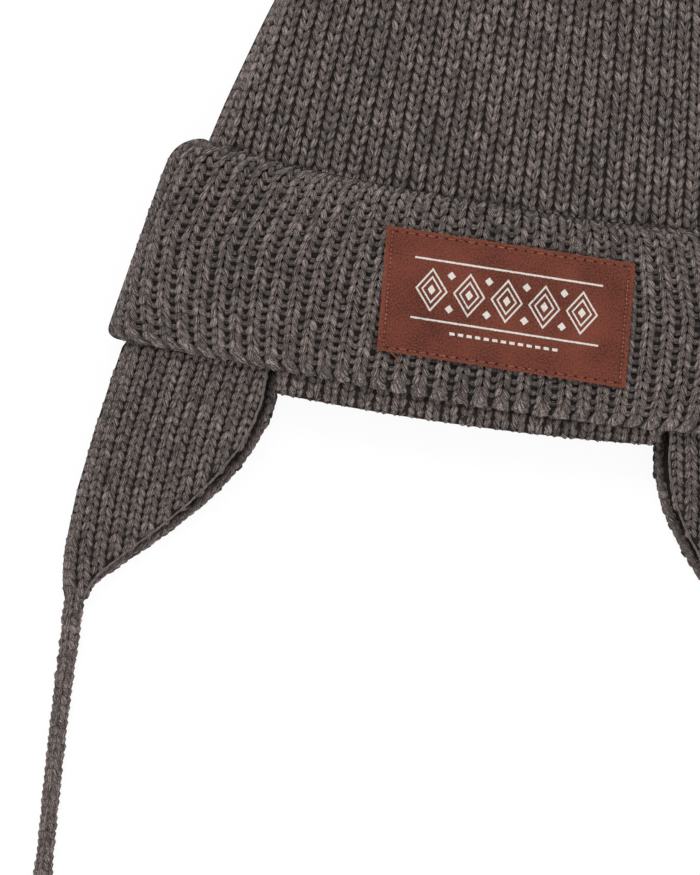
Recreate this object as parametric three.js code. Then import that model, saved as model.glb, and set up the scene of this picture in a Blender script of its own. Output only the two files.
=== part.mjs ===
// Earflap beanie in chunky wool knit, lying on its back with the front up, ear flaps folded in half.
// Millimetres. +Z is up, +Y runs from the head opening to the top of the crown, +X to the right.
// Heights along Y are counted from the rim, the lower edge of the hem between the flaps.
import * as THREE from "three";

// Whole hat
const HAT_LENGTH = 212; // rim to the top of the crown
const CLEARANCE = 0.3; // between neighbouring pieces
const KNIT_WALL = 3.5; // one layer of knit
const FRONT_ARCH = 1.5; // how far the upper side bows up at the middle

// Body of the hat, from the hem seam up to the crown's gathered top
const HEM_SEAM = 12; // height of the seam above the rim
const BODY_HALF_WIDTH = 104.8; // laid flat, at the hem seam
const CROWN_HALF_HEIGHT = 9.2; // half the thickness of the crown where it is fullest
const BODY_FOLD = 5.5; // how far in from each side the side fold is rounded

// Side folds of any piece
const MOST_FOLDED = 0.8; // share of a layer's width that its fold may take
const LEAST_FOLD = 0.12; // share of a fold that always stays round on its inside

// Turned-up ribbed cuff
const CUFF_LOW = 4.6; // lower edge above the rim, at the middle
const CUFF_HEIGHT = 61.6;
const CUFF_WALL = 5.2; // on the front and the back, rib crest included
const CUFF_SIDE_LOW = 6.6; // wall round the side fold, at the lower edge
const CUFF_SIDE_HIGH = 10.2; // the same at the upper edge
const CUFF_FOLD = 8.5; // how far in from each side the band's fold is rounded
const CUFF_LOW_RISE = 5.5; // how much higher the lower edge lies at the side folds
const CUFF_TOP_RISE = 7.8; // how much higher the upper edge lies at the side folds
const CUFF_SLANT = 3; // the band was turned up a little higher towards -X
const RIB_PITCH = 5.9; // one knit and one purl column
const RIB_DEPTH = 1.3;

// Hem strips between the ear flaps
const HEM_HALF_WIDTH = 57.7;
const HEM_SAG = 1.8; // the rim hangs this far lower at its middle

// Ear flaps, each folded in half along the side of the hat
const FLAP_LENGTH = 70.4; // rim to tip
const FLAP_STAND_OUT = 3.4; // side fold at the rim, out from the body's at the hem seam
const FLAP_FLARE = 7.8; // how far the fold leans out below the rim
const FLAP_TIP_INSET = 0.7; // free edge at the tip, in from the side fold at the rim
const FLAP_WALL = 3.4;
const FLAP_TIP_WALL = 2.8;
const FLAP_EDGE_STEP = 3.5; // the upper half's free edge stops short of the lower half's
const FLAP_FOLD = 5; // how far in from the side the fold is rounded

// Free knitted edges of the hem and the flaps
const EDGE_ROUND = 1.1; // how far in they are rounded
const EDGE_SINK = 0.3; // share of the wall that each rounding takes

// Ties, round knitted cords from the flap tips
const TIE_DIAMETER = 5.7;
const TIE_SIDES = 8;
const TIE_STEPS = 24;

// Woven label sewn on the cuff
const LABEL_WIDTH = 75.5;
const LABEL_HEIGHT = 37.5;
const LABEL_WALL = 0.9;
const LABEL_X = 7;
const LABEL_Y = 36.1;
const LABEL_TURN = -1; // degrees, seen from above

// Fineness of the meshes
const BODY_COLUMNS = 56;
const HEM_COLUMNS = 14;
const FLAP_FLAT_STEPS = 5;
const FLAP_FOLD_STEPS = 6;
const LABEL_COLUMNS = 10;
const LABEL_ROWS = 4;

// Body sections from the hem seam to the top. up is the share of the way, width the share of
// BODY_HALF_WIDTH, height the share of CROWN_HALF_HEIGHT, rise how far the cuff's wall underneath
// still holds the body up.
const BODY_ROWS = [
  { up: 0, width: 1, height: 0.76, rise: 1 },
  { up: 0.14, width: 0.93, height: 0.76, rise: 1 },
  { up: 0.27, width: 0.866, height: 0.76, rise: 1 },
  { up: 0.31, width: 0.846, height: 0.785, rise: 0.93 },
  { up: 0.3725, width: 0.814, height: 0.86, rise: 0.6 },
  { up: 0.43, width: 0.78, height: 0.95, rise: 0.22 },
  { up: 0.49, width: 0.744, height: 1, rise: 0 },
  { up: 0.55, width: 0.704, height: 1, rise: 0 },
  { up: 0.63, width: 0.651, height: 0.985, rise: 0 },
  { up: 0.71, width: 0.59, height: 0.95, rise: 0 },
  { up: 0.79, width: 0.517, height: 0.88, rise: 0 },
  { up: 0.86, width: 0.439, height: 0.78, rise: 0 },
  { up: 0.92, width: 0.351, height: 0.66, rise: 0 },
  { up: 0.96, width: 0.267, height: 0.54, rise: 0 },
  { up: 0.9875, width: 0.1765, height: 0.42, rise: 0 },
  { up: 1, width: 0.086, height: 0.29, rise: 0 },
];
const LAST_HOLLOW_ROW = 13; // above this row the crown is gathered solid

// Cuff profile, up the outside and back down the inside. up is the share of the cuff's height,
// wall the share of its wall, rib the share of RIB_DEPTH.
const CUFF_ROWS = [
  { up: 0, wall: 0.45, rib: 0.3 },
  { up: 0.046, wall: 0.93, rib: 0.9 },
  { up: 0.1, wall: 1, rib: 1 },
  { up: 0.5, wall: 1, rib: 1 },
  { up: 0.87, wall: 1, rib: 1 },
  { up: 0.935, wall: 0.86, rib: 0.8 },
  { up: 0.978, wall: 0.52, rib: 0.45 },
  { up: 1, wall: 0.16, rib: 0.15 },
  { up: 0.97, wall: 0, rib: 0 },
  { up: 0.05, wall: 0, rib: 0 },
];

// One rib in plan: where across the pitch its corners lie, and how deep.
const RIB_CORNERS = [
  { across: 0, depth: 1 },
  { across: 0.28, depth: 0 },
  { across: 0.72, depth: 0 },
];

// Flap sections from the rim to the tip. down is the share of FLAP_LENGTH, flare the share of
// FLAP_FLARE, taper how far the free edge has come from the hem to the tie, back and front how far
// the lower and the upper half are still lifted towards the mouth of the hat.
const FLAP_ROWS = [
  { down: -0.12, flare: -0.22, taper: 0, back: 1, front: 1 },
  { down: -0.05, flare: -0.1, taper: 0, back: 1, front: 0.97 },
  { down: 0.03, flare: 0.06, taper: 0.002, back: 0.9, front: 0.9 },
  { down: 0.12, flare: 0.205, taper: 0.03, back: 0.65, front: 0.78 },
  { down: 0.25, flare: 0.44, taper: 0.103, back: 0.35, front: 0.6 },
  { down: 0.39, flare: 0.63, taper: 0.226, back: 0.12, front: 0.43 },
  { down: 0.52, flare: 0.82, taper: 0.373, back: 0, front: 0.3 },
  { down: 0.66, flare: 0.92, taper: 0.566, back: 0, front: 0.19 },
  { down: 0.785, flare: 1, taper: 0.765, back: 0, front: 0.11 },
  { down: 0.86, flare: 0.97, taper: 0.885, back: 0, front: 0.07 },
  { down: 0.915, flare: 0.92, taper: 0.955, back: 0, front: 0.04 },
  { down: 0.96, flare: 0.84, taper: 0.985, back: 0, front: 0.015 },
  { down: 1, flare: 0.73, taper: 1, back: 0, front: 0 },
];

// Routes of the ties' centrelines on the table: x outwards from the flap's side fold at the rim,
// y from the flap's tip.
const LEFT_TIE_ROUTE = [
  [2.5, -0.3],
  [2.4, -5.6],
  [2.3, -14.6],
  [2.2, -24.6],
  [2.1, -34.6],
  [1.9, -45.6],
  [1.5, -57.6],
  [1.1, -69.6],
  [0.6, -82.6],
  [0, -97.6],
  [-0.6, -113.6],
  [-1, -129.6],
  [-1.1, -145.6],
  [-0.9, -161.6],
  [-0.3, -177.6],
  [0.7, -193.6],
  [2, -209.6],
  [3.7, -226.6],
];
const RIGHT_TIE_ROUTE = [
  [2.5, -0.3],
  [2.5, -5.6],
  [2.6, -14.6],
  [2.8, -24.6],
  [3.1, -34.6],
  [3.5, -45.6],
  [4, -57.6],
  [4.3, -69.6],
  [4.4, -82.6],
  [4.1, -97.6],
  [3.4, -113.6],
  [2.3, -129.6],
  [1.1, -145.6],
  [0, -161.6],
  [-0.8, -177.6],
  [-1.1, -193.6],
  [-0.9, -209.6],
  [-0.1, -226.6],
];

// Finishes
const cloth = (color, roughness) => new THREE.MeshStandardMaterial({ color, roughness, metalness: 0 });
const CROWN_FINISH = cloth("#5f5551", 0.95);
const CUFF_FINISH = cloth("#635955", 0.95);
const FLAP_FINISH = cloth("#5a504c", 0.95);
const TIE_FINISH = cloth("#5c524e", 0.95);
const LABEL_FINISH = cloth("#6f3a2c", 0.6);

// A tube of cloth pressed flat, seen end on: straight underneath, bowed on top, folded at both
// sides. The walk round it starts under the middle and goes towards +X.
class FlatSection extends THREE.Curve {
  constructor({ halfWidth, halfHeight, fold, arch, bottom, y }) {
    super();
    Object.assign(this, { halfWidth, halfHeight, fold, arch, bottom, y });
  }

  getPoint(t, target = new THREE.Vector3()) {
    const foldStart = 0.2;
    const foldEnd = 0.3;
    const half = t > 0.5 ? 1 - t : t;
    const flat = this.halfWidth - this.fold;
    let x = flat;
    let z = 0;
    if (half < foldStart) {
      x = (flat * half) / foldStart;
      z = -1;
    } else if (half > foldEnd) {
      x = (flat * (0.5 - half)) / (0.5 - foldEnd);
      z = 1;
    } else {
      const angle = Math.PI * ((half - foldStart) / (foldEnd - foldStart) - 0.5);
      x += this.fold * Math.cos(angle);
      z = Math.sin(angle);
    }
    const bow = z > 0 ? this.arch * (1 - (x / this.halfWidth) ** 2) : 0;
    const side = t > 0.5 ? -x : x;
    return target.set(side, this.y, this.bottom + this.halfHeight + z * (this.halfHeight + bow));
  }
}

// Value of a column of the body table at a share of the way up, also below the first row.
function bodyValue(column, up) {
  const next = Math.max(1, BODY_ROWS.findIndex((row) => row.up >= up));
  const low = BODY_ROWS[next - 1];
  const high = BODY_ROWS[next];
  return THREE.MathUtils.mapLinear(up, low.up, high.up, low[column], high[column]);
}

// Outline of the body at a height y, moved in by inset or, when that is negative, out.
function bodySection(y, inset = 0) {
  const up = (y - HEM_SEAM) / (HAT_LENGTH - HEM_SEAM);
  const width = bodyValue("width", up);
  const halfWidth = BODY_HALF_WIDTH * width;
  const halfHeight = CROWN_HALF_HEIGHT * bodyValue("height", up);
  const fold = Math.min(BODY_FOLD, MOST_FOLDED * halfWidth);
  return new FlatSection({
    halfWidth: halfWidth - inset,
    halfHeight: halfHeight - inset,
    fold: Math.max(fold - inset, LEAST_FOLD * fold),
    arch: FRONT_ARCH * width,
    bottom: (CUFF_WALL + CLEARANCE) * Math.min(1, bodyValue("rise", up)) + inset,
    y,
  });
}

// Height of the body's upper face over a point, measured on its outside.
function frontHeight(section, x) {
  const bow = section.arch * (1 - (x / section.halfWidth) ** 2);
  return section.bottom + 2 * section.halfHeight + bow;
}

// A closed solid skinned over rings of equally many points. The ends are "joined" into a loop,
// "gathered" to a point each, or "flat" where each ring's second half runs back beside its first.
function skin(rings, ends) {
  const count = rings[0].length;
  const points = rings.flat();
  const faces = [];
  const quad = (a, b, c, d) => faces.push(a, b, c, a, c, d);
  const lastRing = ends === "joined" ? rings.length : rings.length - 1;
  for (let r = 0; r < lastRing; r += 1) {
    const here = r * count;
    const there = ((r + 1) % rings.length) * count;
    for (let c = 0; c < count; c += 1) {
      const side = (c + 1) % count;
      quad(here + c, here + side, there + side, there + c);
    }
  }
  const closings = ends === "joined" ? [] : [0, rings.length - 1];
  for (const r of closings) {
    const start = r * count;
    const turned = r === 0;
    if (ends === "gathered") {
      const pole = points.length;
      points.push(centre(rings[r]));
      for (let c = 0; c < count; c += 1) {
        const side = (c + 1) % count;
        faces.push(...(turned ? [start + side, start + c, pole] : [start + c, start + side, pole]));
      }
    } else {
      for (let c = 0; c < count / 2 - 1; c += 1) {
        const corners = [start + c, start + c + 1, start + count - 2 - c, start + count - 1 - c];
        quad(...(turned ? corners.reverse() : corners));
      }
    }
  }
  return outward(points, faces);
}

function centre(ring) {
  const sum = ring.reduce((total, point) => total.add(point), new THREE.Vector3());
  return sum.divideScalar(ring.length);
}

// Geometry of the triangles, all turned the other way round if the solid would be inside out.
function outward(points, faces) {
  let volume = 0;
  for (let i = 0; i < faces.length; i += 3) {
    const [a, b, c] = [points[faces[i]], points[faces[i + 1]], points[faces[i + 2]]];
    volume += a.dot(new THREE.Vector3().crossVectors(b, c));
  }
  const ordered = volume < 0 ? faces.slice().reverse() : faces;
  const geometry = new THREE.BufferGeometry().setFromPoints(points);
  geometry.setIndex(ordered);
  geometry.computeVertexNormals();
  return geometry;
}

// Crown: one layer of knit, open at the hem seam, drawn together at the top.
function crownGeometry() {
  const ringAt = (row, inset) => {
    const y = HEM_SEAM + row.up * (HAT_LENGTH - HEM_SEAM);
    const section = bodySection(y, inset);
    return Array.from({ length: BODY_COLUMNS }, (_, c) => section.getPointAt(c / BODY_COLUMNS));
  };
  const inside = BODY_ROWS.slice(0, LAST_HOLLOW_ROW + 1).map((row) => ringAt(row, KNIT_WALL));
  const outside = BODY_ROWS.map((row) => ringAt(row, 0));
  return skin([...inside.reverse(), ...outside], "gathered");
}

// Height of the cuff's lower or upper edge. across runs from -1 at one side fold to 1 at the other.
function cuffHeight(up, across) {
  const slant = -CUFF_SLANT * across * (1 - across ** 2);
  const low = CUFF_LOW + CUFF_LOW_RISE * across ** 2;
  const top = CUFF_LOW + CUFF_HEIGHT + CUFF_TOP_RISE * Math.abs(across) ** 3;
  return THREE.MathUtils.lerp(low, top, up) + slant;
}

// Outline of the cuff's rib crests at a height y.
function cuffSection(y, up) {
  const body = bodySection(y, -CLEARANCE);
  const side = THREE.MathUtils.lerp(CUFF_SIDE_LOW, CUFF_SIDE_HIGH, up);
  return new FlatSection({
    halfWidth: body.halfWidth + side,
    halfHeight: body.halfHeight + CUFF_WALL,
    fold: CUFF_FOLD,
    arch: body.arch,
    bottom: body.bottom - CUFF_WALL,
    y,
  });
}

// Cuff: a band of ribs right round the body, its edges rounded off.
function cuffGeometry() {
  const middle = cuffSection(CUFF_LOW + CUFF_HEIGHT / 2, 0.5);
  const ribs = Math.round(middle.getLength() / RIB_PITCH);
  const columns = [];
  for (let rib = 0; rib < ribs; rib += 1)
    for (const { across, depth } of RIB_CORNERS) columns.push({ share: (rib + across) / ribs, depth });
  const rings = CUFF_ROWS.map((row) =>
    columns.map(({ share, depth }) => {
      const across = middle.getPointAt(share).x / middle.halfWidth;
      const y = cuffHeight(row.up, across);
      const inner = bodySection(y, -CLEARANCE).getPointAt(share);
      const outer = cuffSection(y, row.up).getPointAt(share);
      const wall = outer.distanceTo(inner);
      const valley = (depth * row.rib * RIB_DEPTH) / wall;
      return inner.lerp(outer, Math.max(0, row.wall - valley));
    }),
  );
  return skin(rings, "joined");
}

// Hem strip on the front or the back, between the ear flaps, with a rounded lower edge.
function hemGeometry(front) {
  const rings = [];
  for (let c = 0; c <= HEM_COLUMNS; c += 1) {
    const across = (2 * c) / HEM_COLUMNS - 1;
    const x = across * HEM_HALF_WIDTH;
    const rim = -HEM_SAG * (1 - across ** 2);
    const seam = HEM_SEAM - CLEARANCE;
    const outline = [
      [seam, 0],
      [(seam + rim) / 2, 0],
      [rim + EDGE_ROUND, 0],
      [rim, EDGE_SINK],
      [rim, 1 - EDGE_SINK],
      [rim + EDGE_ROUND, 1],
      [(seam + rim) / 2, 1],
      [seam, 1],
    ];
    const section = bodySection(HEM_SEAM);
    const face = front ? frontHeight(section, x) : section.bottom;
    const inwards = front ? -KNIT_WALL : KNIT_WALL;
    rings.push(outline.map(([y, depth]) => new THREE.Vector3(x, y, face + depth * inwards)));
  }
  return skin(rings, "flat");
}

// Side fold of the flaps at the rim.
const FLAP_FOLD_X = BODY_HALF_WIDTH + FLAP_STAND_OUT;

// One face of a folded flap's wall, from the lower half's free edge round the fold to the upper
// half's: its outside, or with inside set its inside.
function flapLine(row, side, inside) {
  const mouth = bodySection(HEM_SEAM);
  const wall = THREE.MathUtils.lerp(FLAP_WALL, FLAP_TIP_WALL, Math.max(0, row.down));
  const inset = inside ? wall : 0;
  const bottom = mouth.bottom * row.back;
  const closed = 2 * FLAP_TIP_WALL + CLEARANCE;
  const top = THREE.MathUtils.lerp(closed, mouth.bottom + 2 * mouth.halfHeight, row.front);
  const halfHeight = (top - bottom) / 2;
  const tipEdgeX = FLAP_FOLD_X - FLAP_TIP_INSET;
  const edgeX = THREE.MathUtils.lerp(HEM_HALF_WIDTH + CLEARANCE, tipEdgeX, row.taper);
  const upperEdgeX = edgeX + FLAP_EDGE_STEP * (1 - row.taper ** 4);
  const foldX = FLAP_FOLD_X + FLAP_FLARE * row.flare;
  const fold = Math.min(FLAP_FOLD, halfHeight, MOST_FOLDED * (foldX - upperEdgeX));
  const flatX = foldX - fold;
  const reach = Math.max(fold - inset, LEAST_FOLD * fold);
  const lip = (inside ? -EDGE_SINK : EDGE_SINK) * wall;
  const bow = (x) => mouth.arch * row.front * Math.max(0, 1 - (x / mouth.halfWidth) ** 2);
  const afterEdge = (x) => x + Math.min(EDGE_ROUND, LEAST_FOLD * (flatX - x));
  const line = [];
  const add = (x, z) => line.push(new THREE.Vector3(side * x, -row.down * FLAP_LENGTH, z));
  add(edgeX, bottom + inset + lip);
  for (let i = 0; i < FLAP_FLAT_STEPS; i += 1)
    add(THREE.MathUtils.lerp(afterEdge(edgeX), flatX, i / FLAP_FLAT_STEPS), bottom + inset);
  for (let i = 0; i <= FLAP_FOLD_STEPS; i += 1) {
    const angle = Math.PI * (i / FLAP_FOLD_STEPS - 0.5);
    const x = flatX + reach * Math.cos(angle);
    const raised = Math.max(0, Math.sin(angle)) * bow(x);
    add(x, bottom + halfHeight + (halfHeight - inset) * Math.sin(angle) + raised);
  }
  for (let i = 1; i <= FLAP_FLAT_STEPS; i += 1) {
    const x = THREE.MathUtils.lerp(flatX, afterEdge(upperEdgeX), i / FLAP_FLAT_STEPS);
    add(x, top - inset + bow(x));
  }
  add(upperEdgeX, top - inset + bow(upperEdgeX) - lip);
  return line;
}

// Ear flap on one side, folded in half, from under the cuff to its tip.
function flapGeometry(side) {
  const tucked = { ...FLAP_ROWS[0], down: -(HEM_SEAM - CLEARANCE) / FLAP_LENGTH };
  tucked.flare = (BODY_HALF_WIDTH - CLEARANCE - FLAP_FOLD_X) / FLAP_FLARE;
  const rows = [tucked, ...FLAP_ROWS];
  return skin(
    rows.map((row) => [...flapLine(row, side, false), ...flapLine(row, side, true).reverse()]),
    "flat",
  );
}

// Tie: a round cord along its route on the table.
function tieGeometry(route, side) {
  const radius = TIE_DIAMETER / 2;
  const place = ([x, y]) => new THREE.Vector3(side * (FLAP_FOLD_X + x), y - FLAP_LENGTH, radius);
  const path = new THREE.CatmullRomCurve3(route.map(place));
  const corners = Array.from({ length: TIE_SIDES }, (_, i) => {
    const angle = (2 * Math.PI * (i + 0.5)) / TIE_SIDES;
    return new THREE.Vector2(radius * Math.cos(angle), radius * Math.sin(angle));
  });
  return new THREE.ExtrudeGeometry(new THREE.Shape(corners), { extrudePath: path, steps: TIE_STEPS });
}

// Label: a thin woven patch that follows the bow of the cuff's front.
function labelGeometry() {
  const turn = THREE.MathUtils.degToRad(LABEL_TURN);
  const rings = [];
  for (let c = 0; c <= LABEL_COLUMNS; c += 1) {
    const u = (c / LABEL_COLUMNS - 0.5) * LABEL_WIDTH;
    const line = (lift) =>
      Array.from({ length: LABEL_ROWS + 1 }, (_, r) => {
        const v = (r / LABEL_ROWS - 0.5) * LABEL_HEIGHT;
        const place = new THREE.Vector2(u, v).rotateAround(new THREE.Vector2(), turn);
        const x = LABEL_X + place.x;
        const y = LABEL_Y + place.y;
        const section = cuffSection(y, (y - CUFF_LOW) / CUFF_HEIGHT);
        return new THREE.Vector3(x, y, frontHeight(section, x) + CLEARANCE + lift);
      });
    rings.push([...line(0), ...line(LABEL_WALL).reverse()]);
  }
  return skin(rings, "flat");
}

function piece(name, geometry, finish) {
  const mesh = new THREE.Mesh(geometry, finish);
  mesh.name = name;
  return mesh;
}

const hat = new THREE.Group();
hat.add(
  piece("crown", crownGeometry(), CROWN_FINISH),
  piece("cuff", cuffGeometry(), CUFF_FINISH),
  piece("hem_front", hemGeometry(true), FLAP_FINISH),
  piece("hem_back", hemGeometry(false), FLAP_FINISH),
  piece("ear_flap_left", flapGeometry(-1), FLAP_FINISH),
  piece("ear_flap_right", flapGeometry(1), FLAP_FINISH),
  piece("tie_left", tieGeometry(LEFT_TIE_ROUTE, -1), TIE_FINISH),
  piece("tie_right", tieGeometry(RIGHT_TIE_ROUTE, 1), TIE_FINISH),
  piece("label", labelGeometry(), LABEL_FINISH),
);

// The part's origin is under the middle of the hat, ties not counted.
hat.position.y = (FLAP_LENGTH - HAT_LENGTH) / 2;
const part = new THREE.Group();
part.add(hat);

export default part;
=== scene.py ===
"""Earflap beanie in chunky wool, lying on its back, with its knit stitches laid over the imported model.

Lengths are metres. The hat's own frame has its origin at the middle of the rim, +Y towards the crown
and +Z up; HAT_ORIGIN_Y carries it into the model's frame when a mesh is made.
"""

import logging
import math
from dataclasses import dataclass, field
from enum import Enum
from functools import partial, reduce

import bpy
import numpy as np
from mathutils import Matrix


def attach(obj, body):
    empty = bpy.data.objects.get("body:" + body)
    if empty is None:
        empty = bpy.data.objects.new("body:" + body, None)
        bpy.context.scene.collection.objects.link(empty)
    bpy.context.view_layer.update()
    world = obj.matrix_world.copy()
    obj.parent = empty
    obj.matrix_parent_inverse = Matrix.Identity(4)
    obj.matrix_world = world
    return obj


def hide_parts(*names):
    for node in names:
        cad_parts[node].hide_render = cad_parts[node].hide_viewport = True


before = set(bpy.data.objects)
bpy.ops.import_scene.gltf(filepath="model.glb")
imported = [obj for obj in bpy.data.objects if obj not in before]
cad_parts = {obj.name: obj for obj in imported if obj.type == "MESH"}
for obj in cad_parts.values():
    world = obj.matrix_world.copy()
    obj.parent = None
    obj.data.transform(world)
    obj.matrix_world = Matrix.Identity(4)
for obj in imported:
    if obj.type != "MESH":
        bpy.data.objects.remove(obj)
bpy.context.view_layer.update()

Array = np.ndarray
Colour = tuple[float, float, float]
Piece = bpy.types.Object
Socket = bpy.types.NodeSocket

LOG = logging.getLogger("earflap_beanie")
MM = 0.001
HAT_ORIGIN_Y = -0.0708


# Sizes of the hat


@dataclass(frozen=True)
class HatSizes:
    """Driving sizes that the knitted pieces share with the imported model, in metres."""

    length: float = 0.212
    clearance: float = 0.0003
    knit_wall: float = 0.0035
    front_arch: float = 0.0015
    hem_seam: float = 0.012
    body_half_width: float = 0.1048
    crown_half_height: float = 0.0092
    body_fold: float = 0.0055
    most_folded: float = 0.8
    least_fold: float = 0.12
    cuff_low: float = 0.0046
    cuff_height: float = 0.0616
    cuff_wall: float = 0.0052
    cuff_side_low: float = 0.0066
    cuff_side_high: float = 0.0102
    cuff_fold: float = 0.0085
    cuff_low_rise: float = 0.0055
    cuff_top_rise: float = 0.0078
    cuff_slant: float = 0.003
    rib_pitch: float = 0.0059
    hem_half_width: float = 0.0577
    hem_sag: float = 0.0018
    flap_length: float = 0.0704
    flap_stand_out: float = 0.0034
    flap_flare: float = 0.0078
    flap_tip_inset: float = 0.0007
    flap_wall: float = 0.0034
    flap_tip_wall: float = 0.0028
    flap_edge_step: float = 0.0035
    flap_fold: float = 0.005
    tie_diameter: float = 0.0057
    label_width: float = 0.0755
    label_height: float = 0.0375
    label_wall: float = 0.0009
    label_x: float = 0.007
    label_y: float = 0.0361
    label_turn: float = math.radians(-1)

    @property
    def flap_fold_x(self) -> float:
        """Place of the flaps' side fold at the rim."""
        return self.body_half_width + self.flap_stand_out


SIZES = HatSizes()

# Body sections: up, width, height and rise, as shares.
BODY_ROWS = np.array([
    (0, 1, 0.76, 1), (0.14, 0.93, 0.76, 1), (0.27, 0.866, 0.76, 1), (0.31, 0.846, 0.785, 0.93),
    (0.3725, 0.814, 0.86, 0.6), (0.43, 0.78, 0.95, 0.22), (0.49, 0.744, 1, 0), (0.55, 0.704, 1, 0),
    (0.63, 0.651, 0.985, 0), (0.71, 0.59, 0.95, 0), (0.79, 0.517, 0.88, 0), (0.86, 0.439, 0.78, 0),
    (0.92, 0.351, 0.66, 0), (0.96, 0.267, 0.54, 0), (0.9875, 0.1765, 0.42, 0), (1, 0.086, 0.29, 0),
])

# Flap sections from the rim to the tip: down, flare, taper, back and front, as shares.
FLAP_ROWS = np.array([
    (-0.12, -0.22, 0, 1, 1), (-0.05, -0.1, 0, 1, 0.97), (0.03, 0.06, 0.002, 0.9, 0.9),
    (0.12, 0.205, 0.03, 0.65, 0.78), (0.25, 0.44, 0.103, 0.35, 0.6), (0.39, 0.63, 0.226, 0.12, 0.43),
    (0.52, 0.82, 0.373, 0, 0.3), (0.66, 0.92, 0.566, 0, 0.19), (0.785, 1, 0.765, 0, 0.11),
    (0.86, 0.97, 0.885, 0, 0.07), (0.915, 0.92, 0.955, 0, 0.04), (0.96, 0.84, 0.985, 0, 0.015),
    (1, 0.73, 1, 0, 0),
])

# Centrelines of the ties: places along Y from the flap's tip, and how far outside the flap's side fold
# at the rim each cord lies there.
TIE_ALONG = np.array([
    -0.0003, -0.0056, -0.0146, -0.0246, -0.0346, -0.0456, -0.0576, -0.0696, -0.0826, -0.0976,
    -0.1136, -0.1296, -0.1456, -0.1616, -0.1776, -0.1936, -0.2096, -0.2266,
])
LEFT_TIE_OUT = np.array([
    0.0025, 0.0024, 0.0023, 0.0022, 0.0021, 0.0019, 0.0015, 0.0011, 0.0006, 0.0,
    -0.0006, -0.001, -0.0011, -0.0009, -0.0003, 0.0007, 0.002, 0.0037,
])
RIGHT_TIE_OUT = np.array([
    0.0025, 0.0025, 0.0026, 0.0028, 0.0031, 0.0035, 0.004, 0.0043, 0.0044, 0.0041,
    0.0034, 0.0023, 0.0011, 0.0, -0.0008, -0.0011, -0.0009, -0.0001,
])


# Small helpers on arrays


def lerp(low: Array, high: Array, share: Array) -> Array:
    """Value that lies at a share of the way from low to high."""
    return low + (high - low) * share


def unit(vectors: Array) -> Array:
    """Vectors of length one in the same directions."""
    return vectors / np.maximum(np.linalg.norm(vectors, axis=-1, keepdims=True), 1e-12)


def run_lengths(points: Array) -> Array:
    """Length run along a polyline up to each of its points.

    Args:
        points: Polyline with the points along the second last axis.

    Returns:
        Lengths, zero at the first point.
    """
    steps = np.linalg.norm(np.diff(points, axis=-2), axis=-1)
    start = np.zeros(steps.shape[:-1] + (1,))
    return np.concatenate([start, np.cumsum(steps, axis=-1)], axis=-1)


def even_steps(line: Array, count: int) -> Array:
    """Polyline with its points at even steps of its length.

    Args:
        line: Points, one row each.
        count: Number of points wanted.

    Returns:
        The new points.
    """
    run = run_lengths(line)
    wanted = np.linspace(0, run[-1], count)
    return np.stack([np.interp(wanted, run, values) for values in line.T], axis=-1)


def arc_even(rings: Array) -> Array:
    """Rings of as many points as before, at even steps of their length."""
    return np.stack([even_steps(ring, len(ring)) for ring in rings])


def body_value(column: int, up: Array) -> Array:
    """Value of a column of the body table at a share of the way up, also below its first row.

    Args:
        column: Column of BODY_ROWS.
        up: Shares of the way from the hem seam to the top.

    Returns:
        The interpolated values.
    """
    inside = np.interp(up, BODY_ROWS[:, 0], BODY_ROWS[:, column])
    slope = (BODY_ROWS[1, column] - BODY_ROWS[0, column]) / BODY_ROWS[1, 0]
    return inside + slope * np.minimum(up, 0)


@dataclass
class FlatSection:
    """Tube of cloth pressed flat: straight underneath, bowed on top and folded at both sides.

    Every field is a number or an array that broadcasts with the places asked for.
    """

    half_width: Array
    half_height: Array
    fold: Array
    arch: Array
    bottom: Array

    FOLD_START = 0.4
    FOLD_END = 0.6

    def at(self, turn: Array) -> tuple[Array, Array]:
        """Point of the outline.

        Args:
            turn: Place round it, 0 at the middle of the top, 1 and -1 at the middle underneath,
                positive towards +X.

        Returns:
            The X and Z coordinates.
        """
        away = np.abs(turn)
        flat = self.half_width - self.fold
        angle = np.pi * (0.5 - (away - self.FOLD_START) / (self.FOLD_END - self.FOLD_START))
        angle = np.clip(angle, -np.pi / 2, np.pi / 2)
        x_top = flat * away / self.FOLD_START
        x_under = flat * (1 - away) / (1 - self.FOLD_END)
        x_fold = flat + self.fold * np.cos(angle)
        x = np.where(away < self.FOLD_START, x_top, np.where(away > self.FOLD_END, x_under, x_fold))
        height = np.sin(angle)
        bow = np.where(height > 0, self.arch * (1 - (x / self.half_width) ** 2), 0)
        z = self.bottom + self.half_height + height * (self.half_height + bow)
        return np.sign(turn) * x, z

    def top(self, x: Array) -> Array:
        """Height of the upper face over a place x."""
        bow = self.arch * (1 - (x / self.half_width) ** 2)
        return self.bottom + 2 * self.half_height + bow


def near_fold(turn: Array) -> Array:
    """1 at the side folds and 0 away from them, where the fabric's back closes up to its face and its
    painted shade shows as a dark line along the fold.
    """
    return np.exp(-(((np.abs(turn) - 0.5) / 0.012) ** 2))


def body_section(y: Array, inset: float = 0.0) -> FlatSection:
    """Outline of the hat's body.

    Args:
        y: Height above the rim.
        inset: How far it is moved in, or out when negative.

    Returns:
        The section at that height.
    """
    up = (y - SIZES.hem_seam) / (SIZES.length - SIZES.hem_seam)
    width = body_value(1, up)
    half_width = SIZES.body_half_width * width
    half_height = SIZES.crown_half_height * body_value(2, up)
    fold = np.minimum(SIZES.body_fold, SIZES.most_folded * half_width)
    lifted = SIZES.cuff_wall + SIZES.clearance
    return FlatSection(
        half_width=half_width - inset,
        half_height=half_height - inset,
        fold=np.maximum(fold - inset, SIZES.least_fold * fold),
        arch=SIZES.front_arch * width,
        bottom=lifted * np.minimum(1, body_value(3, up)) + inset,
    )


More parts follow.
